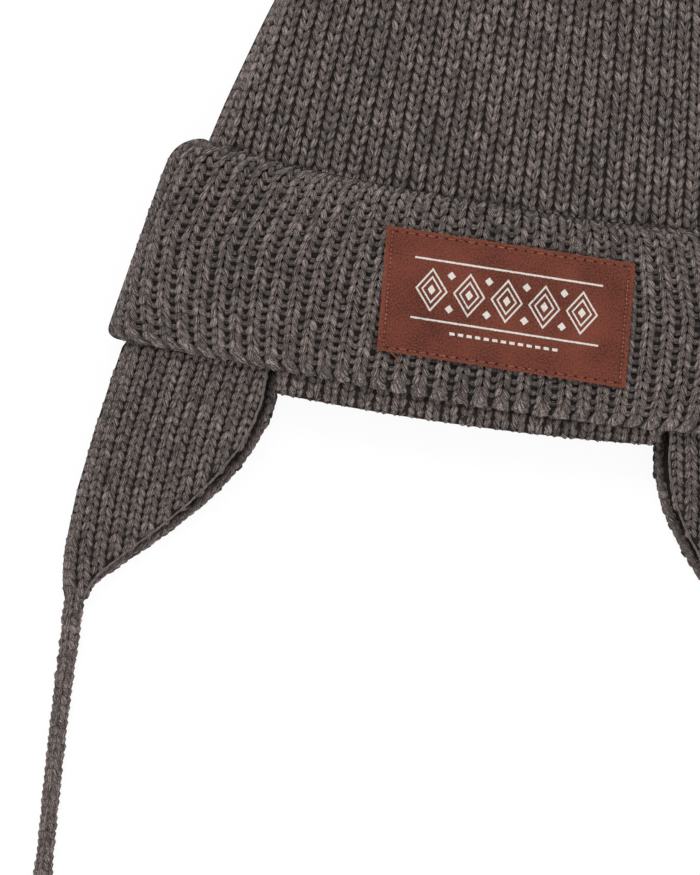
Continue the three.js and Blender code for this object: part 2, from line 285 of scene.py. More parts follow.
def cuff_height(up: Array, across: Array) -> Array:
    """Height of a line of the cuff above the rim.

    Args:
        up: Share of the way from the lower to the upper edge.
        across: Place from -1 at the left side fold to 1 at the right one.

    Returns:
        The height along Y.
    """
    low = SIZES.cuff_low + SIZES.cuff_low_rise * across**2
    top = SIZES.cuff_low + SIZES.cuff_height + SIZES.cuff_top_rise * np.abs(across) ** 3
    return lerp(low, top, up) - SIZES.cuff_slant * across * (1 - across**2)


def cuff_section(y: Array, up: Array) -> FlatSection:
    """Outline of the cuff's rib crests at a height y, which is the share up of the cuff's own."""
    body = body_section(y, -SIZES.clearance)
    side = lerp(SIZES.cuff_side_low, SIZES.cuff_side_high, up)
    return FlatSection(
        half_width=body.half_width + side,
        half_height=body.half_height + SIZES.cuff_wall,
        fold=SIZES.cuff_fold,
        arch=body.arch,
        bottom=body.bottom - SIZES.cuff_wall,
    )


# Surfaces that yarn is laid on


@dataclass
class Skin:
    """Surface given by a grid of points, with an outward normal at each.

    Attributes:
        points: Grid of points, rows by columns by three.
        outward: 1 or -1, the side that the normals take.
        looped: Whether the last column joins the first.
    """

    points: Array
    outward: int = 1
    looped: bool = False
    normals: Array = field(init=False)

    def __post_init__(self) -> None:
        """Works out the normals."""
        if self.looped:
            wide = np.concatenate([self.points[:, -1:], self.points, self.points[:, :1]], axis=1)
            across = np.gradient(wide, axis=1)[:, 1:-1]
        else:
            across = np.gradient(self.points, axis=1)
        along = np.gradient(self.points, axis=0)
        self.normals = self.outward * unit(np.cross(across, along))

    def at(self, row: Array, column: Array) -> tuple[Array, Array]:
        """Point and normal at any place of the grid.

        Args:
            row: Row coordinates, whole numbers on the rows themselves.
            column: Column coordinates, in the same way.

        Returns:
            Points and unit normals.
        """
        rows, columns = self.points.shape[:2]
        row = np.clip(row, 0, rows - 1.001)
        if self.looped:
            column = np.mod(column, columns)
        else:
            column = np.clip(column, 0, columns - 1.001)
        low_row = row.astype(int)
        low_column = np.minimum(column.astype(int), columns - 1)
        next_column = (low_column + 1) % columns if self.looped else low_column + 1
        up = (row - low_row)[..., None]
        over = (column - low_column)[..., None]
        found = []
        for grid in (self.points, self.normals):
            low = lerp(grid[low_row, low_column], grid[low_row, next_column], over)
            high = lerp(grid[low_row + 1, low_column], grid[low_row + 1, next_column], over)
            found.append(lerp(low, high, up))
        return found[0], unit(found[1])


class Knit:
    """A skin with wales and courses marked on it."""

    skin: Skin

    def grid(self, wale: Array, course: Array) -> tuple[Array, Array]:
        """Row and column of the skin at a wale and a course.

        Args:
            wale: Wale coordinates, counted across the fabric.
            course: Course coordinates, counted along the wales.

        Returns:
            Row and column coordinates of the skin.
        """
        raise NotImplementedError

    def at(self, wale: Array, course: Array) -> tuple[Array, Array]:
        """Point and normal of the fabric's crest at a wale and a course."""
        return self.skin.at(*self.grid(wale, course))


@dataclass
class PartKnit(Knit):
    """Knit on the skin of one of the hat's parts.

    Attributes:
        part: The part that the fabric belongs to.
    """

    part: "Crown | Cuff | Hem | EarFlap"

    @property
    def skin(self) -> Skin:
        """Skin of the part."""
        return self.part.skin


# Yarn


class Chevron(Enum):
    """Which way the points of a column of knit stitches face along the wales."""

    POINT_LOW = 1
    POINT_HIGH = -1


@dataclass(frozen=True)
class StitchShape:
    """One of the two legs of a knit stitch.

    Attributes:
        foot: Distance of the leg's narrow end from the middle of the wale, in wales.
        head: The same for its wide end.
        start: Course of the narrow end, counted from the stitch's own.
        stop: Course of the wide end.
        radius: Half the yarn's thickness, in metres.
        flatness: Thickness across the fabric as a share of that along it.
        dip: How far both ends sink into the fabric, in metres.
        head_dip: How much further the wide end sinks.
        end_size: Radius at the ends as a share of the middle's.
    """

    foot: float = 0.09
    head: float = 0.36
    start: float = -0.62
    stop: float = 0.68
    radius: float = 0.00104
    flatness: float = 0.95
    dip: float = 0.0007
    head_dip: float = 0.0007
    end_size: float = 0.6


@dataclass(frozen=True)
class Unevenness:
    """How much hand and wool vary from stitch to stitch, each as a standard deviation.

    Attributes:
        wale: Shift of a leg across the fabric, in wales.
        course: Shift of a leg along the wale, in courses.
        radius: Share by which its thickness changes.
        lift: Change of its height, in metres.
    """

    wale: float = 0.018
    course: float = 0.05
    radius: float = 0.05
    lift: float = 0.00012


class YarnBatch:
    """Short lengths of yarn that end up in one mesh."""

    # Places of a length's rings along it, the share of the radius that its ends stand out, and how far
    # the pattern of the plies may be moved along it, in millimetres.
    RINGS = np.array([0.03, 0.35, 0.65, 0.97])
    TIP = 0.8
    LONGEST_SHIFT = 40

    def __init__(self, seed: int, sides: int = 6) -> None:
        """Starts an empty batch.

        Args:
            seed: Seed of the batch's random draws.
            sides: Faces round a length of yarn.
        """
        self.rng = np.random.default_rng(seed)
        self.sides = sides
        self.laid: list[tuple[Array, ...]] = []

    def lay(
        self, knit: Knit, wale: Array, course: Array, lift: Array, radius: Array, flatness: float
    ) -> None:
        """Lays lengths of yarn on a knit surface.

        Args:
            knit: Surface that the yarn follows.
            wale: Wale coordinates of the centrelines, pieces by rings.
            course: Course coordinates of the centrelines.
            lift: Height of the centrelines above the crest.
            radius: Half thickness along the centrelines.
            flatness: Thickness across the surface as a share of that along it.
        """
        points, normals = knit.at(wale, course)
        centres = points + normals * lift[..., None]
        radii = np.broadcast_to(radius, wale.shape)
        tones = self.rng.random(len(wale))
        lifts = np.broadcast_to(lift, wale.shape)
        self.laid.append((centres, normals, radii, np.full(wale.shape, flatness), tones, lifts))

    def knit_stitches(
        self,
        knit: Knit,
        wale: Array,
        course: Array,
        shape: StitchShape,
        chevron: Chevron = Chevron.POINT_LOW,
        uneven: Unevenness = Unevenness(),
    ) -> None:
        """Lays both legs of knit stitches.

        Args:
            knit: Surface that the stitches lie on.
            wale: Wale of each stitch.
            course: Course of each stitch.
            shape: Shape of a leg.
            chevron: Way that the stitches point.
            uneven: How much they vary.
        """
        wale = wale.reshape(-1, 1)
        course = course.reshape(-1, 1)
        count = len(wale)
        share = self.RINGS[None, :]
        ease = share * share * (3 - 2 * share)
        spread = lerp(shape.foot, shape.head, 0.5 * (share + ease))
        run = chevron.value * lerp(shape.start, shape.stop, share)
        ends = (2 * share - 1) ** 2
        for side in (-1, 1):
            off_wale = self.rng.normal(0, uneven.wale, (count, 1))
            off_course = self.rng.normal(0, uneven.course, (count, 1))
            plump = 1 + self.rng.normal(0, uneven.radius, (count, 1))
            raised = self.rng.normal(0, uneven.lift, (count, 1))
            radius = shape.radius * plump * lerp(1, shape.end_size, ends)
            depth = shape.radius * shape.flatness + shape.dip * ends + shape.head_dip * share**2
            wales = wale + side * spread + off_wale
            self.lay(knit, wales, course + run + off_course, raised - depth, radius, shape.flatness)

    def build(self, name: str, finish: "YarnFinish") -> Piece:
        """Makes the batch one mesh of closed, pointed tubes.

        Args:
            name: Name of the piece.
            finish: Finish of its yarn.

        Returns:
            The new object.
        """
        centres, normals, radii, flatness, tones, lifts = map(np.concatenate, zip(*self.laid))
        pieces, rings = radii.shape
        sides = self.sides
        tangent = unit(np.gradient(centres, axis=1))
        across = unit(np.cross(normals, tangent))
        up = np.cross(tangent, across)
        angle = 2 * np.pi * np.arange(sides) / sides - np.pi / 2
        ring = (
            np.cos(angle)[:, None] * across[:, :, None, :]
            + (np.sin(angle) * flatness[..., None])[..., None] * up[:, :, None, :]
        )
        tube = centres[:, :, None, :] + radii[:, :, None, None] * ring
        first = centres[:, 0] - tangent[:, 0] * radii[:, :1] * self.TIP
        last = centres[:, -1] + tangent[:, -1] * radii[:, -1:] * self.TIP
        points = np.concatenate([tube.reshape(pieces, -1, 3), first[:, None], last[:, None]], axis=1)
        # Depth of each point under the fabric's crest, in millimetres, which the finish's painted shade
        # follows.
        shade_by_depth = -(lifts[..., None] + (radii * flatness)[..., None] * np.sin(angle)) / MM
        tips = -lifts[:, [0, -1]] / MM
        depth = np.concatenate([shade_by_depth.reshape(pieces, -1), tips], axis=1)
        run = run_lengths(centres) / MM + self.rng.random((pieces, 1)) * self.LONGEST_SHIFT

        here = np.arange(rings - 1)[:, None] * sides + np.arange(sides)[None, :]
        side_on = (np.arange(sides) + 1) % sides
        there = np.arange(rings - 1)[:, None] * sides + side_on[None, :]
        quads = np.stack([here, there, there + sides, here + sides], axis=-1).reshape(-1, 4)
        tip = rings * sides
        low_cap = np.stack([np.full(sides, tip), side_on, np.arange(sides)], axis=-1)
        end = (rings - 1) * sides
        high_cap = np.stack([np.full(sides, tip + 1), end + np.arange(sides), end + side_on], axis=-1)
        size = points.shape[1]
        offset = (np.arange(pieces) * size)[:, None, None]
        faces = (quads[None] + offset).reshape(-1, 4).tolist()
        faces += (np.concatenate([low_cap, high_cap])[None] + offset).reshape(-1, 3).tolist()

        around = np.arange(sides) / sides
        around_on = around + 1 / sides
        quad_v = np.stack([around, around_on, around_on, around], axis=-1)
        quad_v = np.broadcast_to(quad_v[None, None], (pieces, rings - 1, sides, 4))
        low_u, high_u = run[:, :-1], run[:, 1:]
        quad_u = np.stack([low_u, low_u, high_u, high_u], axis=-1)
        quad_u = np.broadcast_to(quad_u[:, :, None, :], quad_v.shape)
        middle = around + 0.5 / sides
        cap_v = np.stack([middle, around_on, around], axis=-1)
        cap_v = np.stack([cap_v, np.stack([middle, around, around_on], axis=-1)])
        cap_v = np.broadcast_to(cap_v[None], (pieces, 2, sides, 3))
        cap_u = np.stack([run[:, 0], run[:, -1]], axis=1)[:, :, None, None]
        cap_u = np.broadcast_to(cap_u, cap_v.shape)
        quad_uv = np.stack([quad_u, quad_v], axis=-1).reshape(-1, 2)
        uv = np.concatenate([quad_uv, np.stack([cap_u, cap_v], axis=-1).reshape(-1, 2)])
        shades = {"tone": np.repeat(tones, size), "depth": depth.ravel()}
        return make_piece(name, points.reshape(-1, 3), faces, finish.material(), uv, shades)


def make_piece(
    name: str,
    points: Array,
    faces: list,
    material: bpy.types.Material,
    uv: Array | None = None,
    shades: dict[str, Array] | None = None,
) -> Piece:
    """Makes an object of points in the hat's own frame.

    Args:
        name: Name of the piece.
        points: Points, one row each.
        faces: Lists of point numbers.
        material: Material of all faces.
        uv: UV of each face corner in the faces' order, or nothing.
        shades: Numbers for each point that the finish reads, by name.

    Returns:
        The new object, smooth shaded.
    """
    mesh = bpy.data.meshes.new(name)
    if uv is None:
        faces = facing_out(points, faces)
    placed = points + np.array([0.0, HAT_ORIGIN_Y, 0.0])
    mesh.from_pydata(placed.tolist(), [], faces)
    if uv is not None:
        layer = mesh.uv_layers.new(name="yarn")
        layer.data.foreach_set("uv", uv.astype(np.float32).ravel())
    for label, values in (shades or {}).items():
        attribute = mesh.attributes.new(label, "FLOAT", "POINT")
        attribute.data.foreach_set("value", values.astype(np.float32))
    mesh.polygons.foreach_set("use_smooth", np.ones(len(mesh.polygons), dtype=bool))
    mesh.materials.append(material)
    mesh.update()
    piece = bpy.data.objects.new(name, mesh)
    bpy.context.scene.collection.objects.link(piece)
    return piece


def facing_out(points: Array, faces: list) -> list:
    """Faces of a closed shell, all turned round if they would face inwards.

    Args:
        points: Points of the shell.
        faces: Lists of point numbers that face the same way.

    Returns:
        The faces, facing outwards.
    """
    volume = 0.0
    for face in faces:
        first = points[face[0]]
        for low, high in zip(face[1:-1], face[2:]):
            volume += float(np.dot(first, np.cross(points[low], points[high])))
    return faces if volume > 0 else [face[::-1] for face in faces]


def declare(piece: Piece, slot: str, *nodes: str) -> Piece:
    """Gives a piece its body and hides the nodes that it stands for.

    Args:
        piece: The finished piece.
        slot: Material slot of the record; not used.
        nodes: Names of the nodes that it replaces.

    Returns:
        The piece.
    """
    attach(piece, "root")
    if nodes:
        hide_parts(*nodes)
    return piece


def shell_faces(rows: int, columns: int, looped_rows: bool, looped_columns: bool) -> list:
    """Quads of a grid of points.

    Args:
        rows: Number of rows.
        columns: Number of columns.
        looped_rows: Whether the last row joins the first.
        looped_columns: Whether the last column joins the first.

    Returns:
        Lists of four point numbers, counted row by row.
    """
    row = np.arange(rows if looped_rows else rows - 1)[:, None]
    column = np.arange(columns if looped_columns else columns - 1)[None, :]
    up = (row + 1) % rows
    over = (column + 1) % columns
    corners = [row * columns + column, row * columns + over, up * columns + over, up * columns + column]
    return np.stack(np.broadcast_arrays(*corners), axis=-1).reshape(-1, 4).tolist()


# Finishes


class Nodes:
    """Short way to add and join the nodes of one tree."""

    def __init__(self, tree: bpy.types.NodeTree) -> None:
        """Keeps the tree that nodes go into."""
        self.tree = tree

    @property
    def surface(self) -> bpy.types.Node:
        """The material's own surface shader."""
        return self.tree.nodes["Principled BSDF"]

    @property
    def place(self) -> Socket:
        """Place in the piece's own space."""
        return self.add("TexCoord").outputs["Object"]

    def add(self, kind: str, settings: dict | None = None, **inputs: object) -> bpy.types.Node:
        """Adds a node.

        Args:
            kind: Blender's name of the node type, without its ShaderNode start.
            settings: Properties of the node to set.
            inputs: Values or sockets for its inputs, by socket name with _ for a space, or by
                number as i0, i1 and so on.

        Returns:
            The new node.
        """
        node = self.tree.nodes.new("ShaderNode" + kind)
        for key, value in (settings or {}).items():
            setattr(node, key, value)
        for key, value in inputs.items():
            numbered = key[0] == "i" and key[1:].isdigit()
            socket = node.inputs[int(key[1:])] if numbered else node.inputs[key.replace("_", " ")]
            if isinstance(value, Socket):
                self.tree.links.new(value, socket)
            else:
                socket.default_value = value
        return node

    def math(self, operation: str, first: object, second: object = 0.0) -> Socket:
        """Adds a Math node and gives its result."""
        return self.add("Math", {"operation": operation}, i0=first, i1=second).outputs[0]

    def times(self, first: object, second: object) -> Socket:
        """Product of two values."""
        return self.math("MULTIPLY", first, second)

    def minus(self, first: object, second: object) -> Socket:
        """Difference of two values."""
        return self.math("SUBTRACT", first, second)

    def off(self, value: object, middle: object = 0.0) -> Socket:
        """Distance of a value from a middle one, without its sign."""
        return self.math("ABSOLUTE", self.minus(value, middle) if middle else value)

    def total(self, *values: object) -> Socket:
        """Sum of values."""
        return reduce(partial(self.math, "ADD"), values)

    def largest(self, *values: object) -> Socket:
        """Largest of some values."""
        return reduce(partial(self.math, "MAXIMUM"), values)

    def ramp(self, value: object, low: float, high: float) -> Socket:
        """Rises smoothly from 0 to 1 while the value goes from low to high."""
        settings = {"interpolation_type": "SMOOTHSTEP"}
        return self.add("MapRange", settings, i0=value, i1=low, i2=high, i3=0.0, i4=1.0).outputs[0]

    def fade(self, value: object, low: float, high: float) -> Socket:
        """Falls smoothly from 1 to 0 while the value goes from low to high."""
        return self.minus(1.0, self.ramp(value, low, high))

    def contrast(self, value: object, factor: float, middle: float = 0.5) -> Socket:
        """Stretches a value about a middle one, which becomes 0."""
        return self.times(self.minus(value, middle), factor)

    def noise(self, place: Socket, scale: float, **settings: float) -> Socket:
        """Adds a Noise Texture and gives its value."""
        return self.add("TexNoise", Vector=place, Scale=scale, **settings).outputs[0]

    def kept(self, name: str) -> Socket:
        """Number that the mesh keeps at each of its points."""
        settings = {"attribute_name": name, "attribute_type": "GEOMETRY"}
        return self.add("Attribute", settings).outputs["Fac"]

    def blend(self, share: object, first: object, second: object) -> Socket:
        """Mixes two colours.

        Args:
            share: Share of the second colour.
            first: Colour as three numbers or a socket.
            second: The other colour.

        Returns:
            The mixed colour.
        """
        colours = [value if isinstance(value, Socket) else (*value, 1.0) for value in (first, second)]
        return self.add("Mix", {"data_type": "RGBA"}, i0=share, i6=colours[0], i7=colours[1]).outputs[2]

    def plain(self, **numbers: float) -> None:
        """Sets what is the same all over the surface, by socket name with _ for a space."""
        for key, value in numbers.items():
            self.surface.inputs[key.replace("_", " ")].default_value = value

    def dress(self, colour: Socket, height: Socket, depth: float, strength: float = 1.0) -> None:
        """Gives the surface its colour and its bump.

        Args:
            colour: Colour of the surface.
            height: Height that the bump follows.
            depth: Depth of the bump, in metres.
            strength: Strength of the bump.
        """
        bump = self.add("Bump", Strength=strength, Distance=depth, Height=height)
        self.tree.links.new(colour, self.surface.inputs["Base Color"])
        self.tree.links.new(bump.outputs[0], self.surface.inputs["Normal"])


@dataclass(frozen=True)
class Finish:
    """Look of a piece.

    Attributes:
        name: Name of the material.
    """

    name: str

    def material(self) -> bpy.types.Material:
        """Material of this finish, made on the first call.

        Returns:
            The material.
        """
        if self.name not in bpy.data.materials:
            material = bpy.data.materials.new(self.name)
            material.use_nodes = True
            self.paint(Nodes(material.node_tree))
        return bpy.data.materials[self.name]

    def paint(self, nodes: Nodes) -> None:
        """Adds the finish's nodes to its material."""
        raise NotImplementedError


# Spun wool: how much finer its strands run across the yarn than along it, their scale, how far they
# bend the plies, and the contrast of the strands and of the loose fibres.
STRAND_STRETCH = 0.2
STRAND_SCALE = 1.5
STRAND_WOBBLE = 2.4
STRAND_CONTRAST = 4.3
FIBRE_SCALE = 2300.0
FIBRE_CONTRAST = 2.0


def spun_wool_group() -> bpy.types.NodeTree:
    """Shader group of spun wool: twisted plies, loose fibres and uneven dye, with painted highlights on
    the plies' crests and painted shade in their grooves.

    Returns:
        The group, made on its first call.
    """
    name = "spun_wool"
    if name in bpy.data.node_groups:
        return bpy.data.node_groups[name]
    group = bpy.data.node_groups.new(name, "ShaderNodeTree")
    for label, start in (("Plies", 10.0), ("Lay", 1.9), ("Fuzz", 0.5)):
        socket = group.interface.new_socket(label, in_out="INPUT", socket_type="NodeSocketFloat")
        socket.default_value = start
    for label in ("Height", "Light"):
        group.interface.new_socket(label, in_out="OUTPUT", socket_type="NodeSocketFloat")
    nodes = Nodes(group)
    given = group.nodes.new("NodeGroupInput").outputs
    result = group.nodes.new("NodeGroupOutput").inputs
    parts = nodes.add("SeparateXYZ", i0=nodes.add("UVMap", {"uv_map": "yarn"}).outputs[0])
    along, around = parts.outputs[:2]
    turns = nodes.total(nodes.times(around, given["Plies"]), nodes.math("DIVIDE", along, given["Lay"]))
    place = nodes.add("CombineXYZ", X=nodes.times(along, STRAND_STRETCH), Y=turns, Z=0.0).outputs[0]
    strands = nodes.noise(place, STRAND_SCALE, Detail=3.0, Roughness=0.7)
    wobble = nodes.contrast(strands, STRAND_WOBBLE)
    wave = nodes.math("SINE", nodes.times(nodes.total(turns, wobble), 2 * math.pi))
    ply = nodes.times(nodes.total(wave, 1.0), 0.5)
    fuzz = nodes.noise(nodes.place, FIBRE_SCALE, Detail=2.0, Roughness=0.7)
    height = nodes.total(nodes.times(ply, 0.6), strands, nodes.times(fuzz, given["Fuzz"]))
    streaks = nodes.contrast(strands, STRAND_CONTRAST)
    grain = nodes.contrast(fuzz, FIBRE_CONTRAST)
    # Lightness share: painted highlight on the plies' crests and painted shade between them, with the
    # uneven strands and fibres.
    light = nodes.total(nodes.times(ply, 0.34), 0.23, streaks, grain)
    group.links.new(height, result["Height"])
    group.links.new(light, result["Light"])
    return group


@dataclass(frozen=True)
class YarnFinish(Finish):
    """Wool yarn.

    Attributes:
        shade: Painted shade in the hollows between the fibres and plies.
        body: Main colour of the yarn.
        lit: Painted highlight on the fibres and plies that stand proud.
        deep_shade: Painted shade deep in the fabric, where the stitches shade one another.
        ply_depth: Depth of the bump of plies and fibres, in metres.
        hollow: How much of that painted shade the yarn takes deep in the fabric.
        tone: How much lengths of yarn differ in lightness.
        cloud: How much patches of the fabric differ in lightness.
    """

    shade: Colour = (0.032, 0.024, 0.021)
    body: Colour = (0.14, 0.109, 0.099)
    lit: Colour = (0.43, 0.348, 0.32)
    deep_shade: Colour = (0.004, 0.003, 0.003)
    ply_depth: float = 0.0006
    hollow: float = 0.92
    tone: float = 0.22
    cloud: float = 0.35

    def paint(self, nodes: Nodes) -> None:
        """Adds the nodes of spun wool, with painted shade that darkens it with its depth in the fabric.

        Args:
            nodes: Tree that takes the nodes.
        """
        wool = nodes.add("Group", {"node_tree": spun_wool_group()}).outputs
        cloud = nodes.contrast(nodes.noise(nodes.place, 45.0, Detail=2.0), self.cloud)
        uneven = nodes.total(nodes.times(nodes.kept("tone"), self.tone), cloud)
        share = nodes.total(wool["Light"], uneven)
        # Shaded and lit copies of the yarn's colour, mixed by that share: painted shade and painted
        # highlights, with the yarn's real unevenness.
        dark = nodes.blend(nodes.ramp(share, -0.1, 0.5), self.shade, self.body)
        lit_and_shaded = nodes.blend(nodes.ramp(share, 0.45, 1.15), dark, self.lit)
        # Painted shade: the deeper the yarn lies in the fabric, the more it takes of the dark shade
        # colour.
        shade_by_depth = nodes.times(nodes.ramp(nodes.kept("depth"), 0.25, 2.0), self.hollow)
        nodes.dress(nodes.blend(shade_by_depth, lit_and_shaded, self.deep_shade), wool["Height"], self.ply_depth)
        nodes.plain(Roughness=0.92, Specular_IOR_Level=0.12, Sheen_Weight=0.1, Sheen_Roughness=0.5)


@dataclass(frozen=True)
class ShadedGroundFinish(Finish):
    """Back of the knit, seen deep between the stitches and inside the hat, painted near black as the
    shade there.

    Attributes:
        colour: Main colour, near black: painted shade, far darker than the yarn itself.
        lighter: How much lighter the middles of the reverse stitches' bumps are than their edges, as
            painted light and shade.
        bump_size: Spacing of those bumps, in metres.
        bump_depth: Depth of those bumps, in metres.
    """

    name: str = "shaded_knit_back"
    colour: Colour = (0.015, 0.0115, 0.01)
    lighter: float = 1.9
    bump_size: float = 0.0036
    bump_depth: float = 0.0008

    def paint(self, nodes: Nodes) -> None:
        """Adds the nodes of a bumpy knit painted dark as shade.

        Args:
            nodes: Tree that takes the nodes.
        """
        place = nodes.place
        cells = nodes.add("TexVoronoi", {"feature": "SMOOTH_F1"}, Vector=place, Scale=1 / self.bump_size)
        fuzz = nodes.noise(place, 2200.0, Detail=3.0)
        light = nodes.minus(1.0, cells.outputs["Distance"])
        share = nodes.times(light, nodes.total(fuzz, 0.2))
        lit = tuple(self.lighter * value for value in self.colour)
        colour = nodes.blend(nodes.ramp(share, 0.15, 0.8), self.colour, lit)
        nodes.dress(colour, nodes.total(light, nodes.times(fuzz, 0.2)), self.bump_depth)
        nodes.plain(Roughness=0.95, Specular_IOR_Level=0.1)


CROWN_YARN = YarnFinish("crown_wool", body=(0.131, 0.102, 0.093))
CUFF_YARN = YarnFinish("cuff_wool")
FLAP_YARN = YarnFinish("flap_wool")
TIE_YARN = YarnFinish("tie_wool")
# Lighter copy of the flap's yarn for the thread along the upper half's edge: a painted highlight on that
# edge.
RIM_HIGHLIGHT_YARN = YarnFinish("rim_highlight_wool", shade=(0.08, 0.064, 0.057), body=(0.26, 0.213, 0.196), hollow=0.6)
# Knit back painted near black: painted shade between the stitches.
SHADED_KNIT_BACK = ShadedGroundFinish()


# Crown


@dataclass
class CrownKnit(PartKnit):
    """Plain knit of the crown, counted from one line that runs up the hat.

    Attributes:
        anchor: Line that wales are counted from, as a quarter turn round the hat: 0 the middle of the
            front, 1 and -1 the side folds, 2 the middle of the back.
    """

    anchor: int

    def grid(self, wale: Array, course: Array) -> tuple[Array, Array]:
        """Row and column of the crown's skin.

        Args:
            wale: Wales counted across the fabric.
            course: Courses counted along it.

        Returns:
            Row and column coordinates.
        """
        crown = self.part
        y = crown.low_y + course * crown.course_pitch
        row = (y - crown.low_y) / (crown.high_y - crown.low_y) * (crown.rows - 1)
        half = np.interp(y, crown.heights, crown.half_rounds)
        side = np.interp(y, crown.heights, crown.to_fold)
        pitch = crown.pitch_at(y)
        start = {0: 0.0, 1: side, -1: -side, 2: half}[self.anchor]
        turn = (start + wale * pitch) / half
        return row, (turn + 1) / 2 * crown.columns


@dataclass
class TopKnit(Knit):
    """Knit drawn together over the crown's top end, wales round it, courses towards its middle.

    Attributes:
        crown: The crown that it closes.
        bulge: How far it stands out, as a share of the top's half height.
    """

    crown: "Crown"
    bulge: float = 0.35
    rows: int = 8

    def __post_init__(self) -> None:
        """Works out the skin, the lengths along a wale and the wales round it."""
        crown = self.crown
        start = crown.high_y - 1.5 * crown.course_pitch
        rings = crown.rings(np.linspace(start, crown.high_y, self.rows))
        ring = rings[-1]
        middle = (ring.max(axis=0) + ring.min(axis=0)) / 2
        half_width, _, half_height = (ring.max(axis=0) - ring.min(axis=0)) / 2
        angle = np.linspace(0, 0.47 * np.pi, self.rows)[1:, None]
        shrink = np.cos(angle)
        x = middle[0] + (ring[:, 0] - middle[0]) * (1 - (1 - shrink) * half_height / half_width)
        y = ring[:, 1] + self.bulge * half_height * np.sin(angle)
        z = middle[2] + (ring[:, 2] - middle[2]) * shrink
        points = np.concatenate([rings, np.stack([x, y, z], axis=-1)])
        steps = np.linalg.norm(np.diff(points, axis=0), axis=-1).mean(axis=1)
        self.skin = Skin(points, looped=True)
        self.run = np.concatenate([[0.0], np.cumsum(steps)])
        around = float(run_lengths(rings[:1])[0, -1])
        self.wales = int(around / crown.pitch_at(start))

    def grid(self, wale: Array, course: Array) -> tuple[Array, Array]:
        """Row and column of the top's skin at a wale and a course."""
        row = np.interp(course * self.crown.course_pitch, self.run, np.arange(len(self.run)))
        return row, wale / self.wales * self.crown.columns


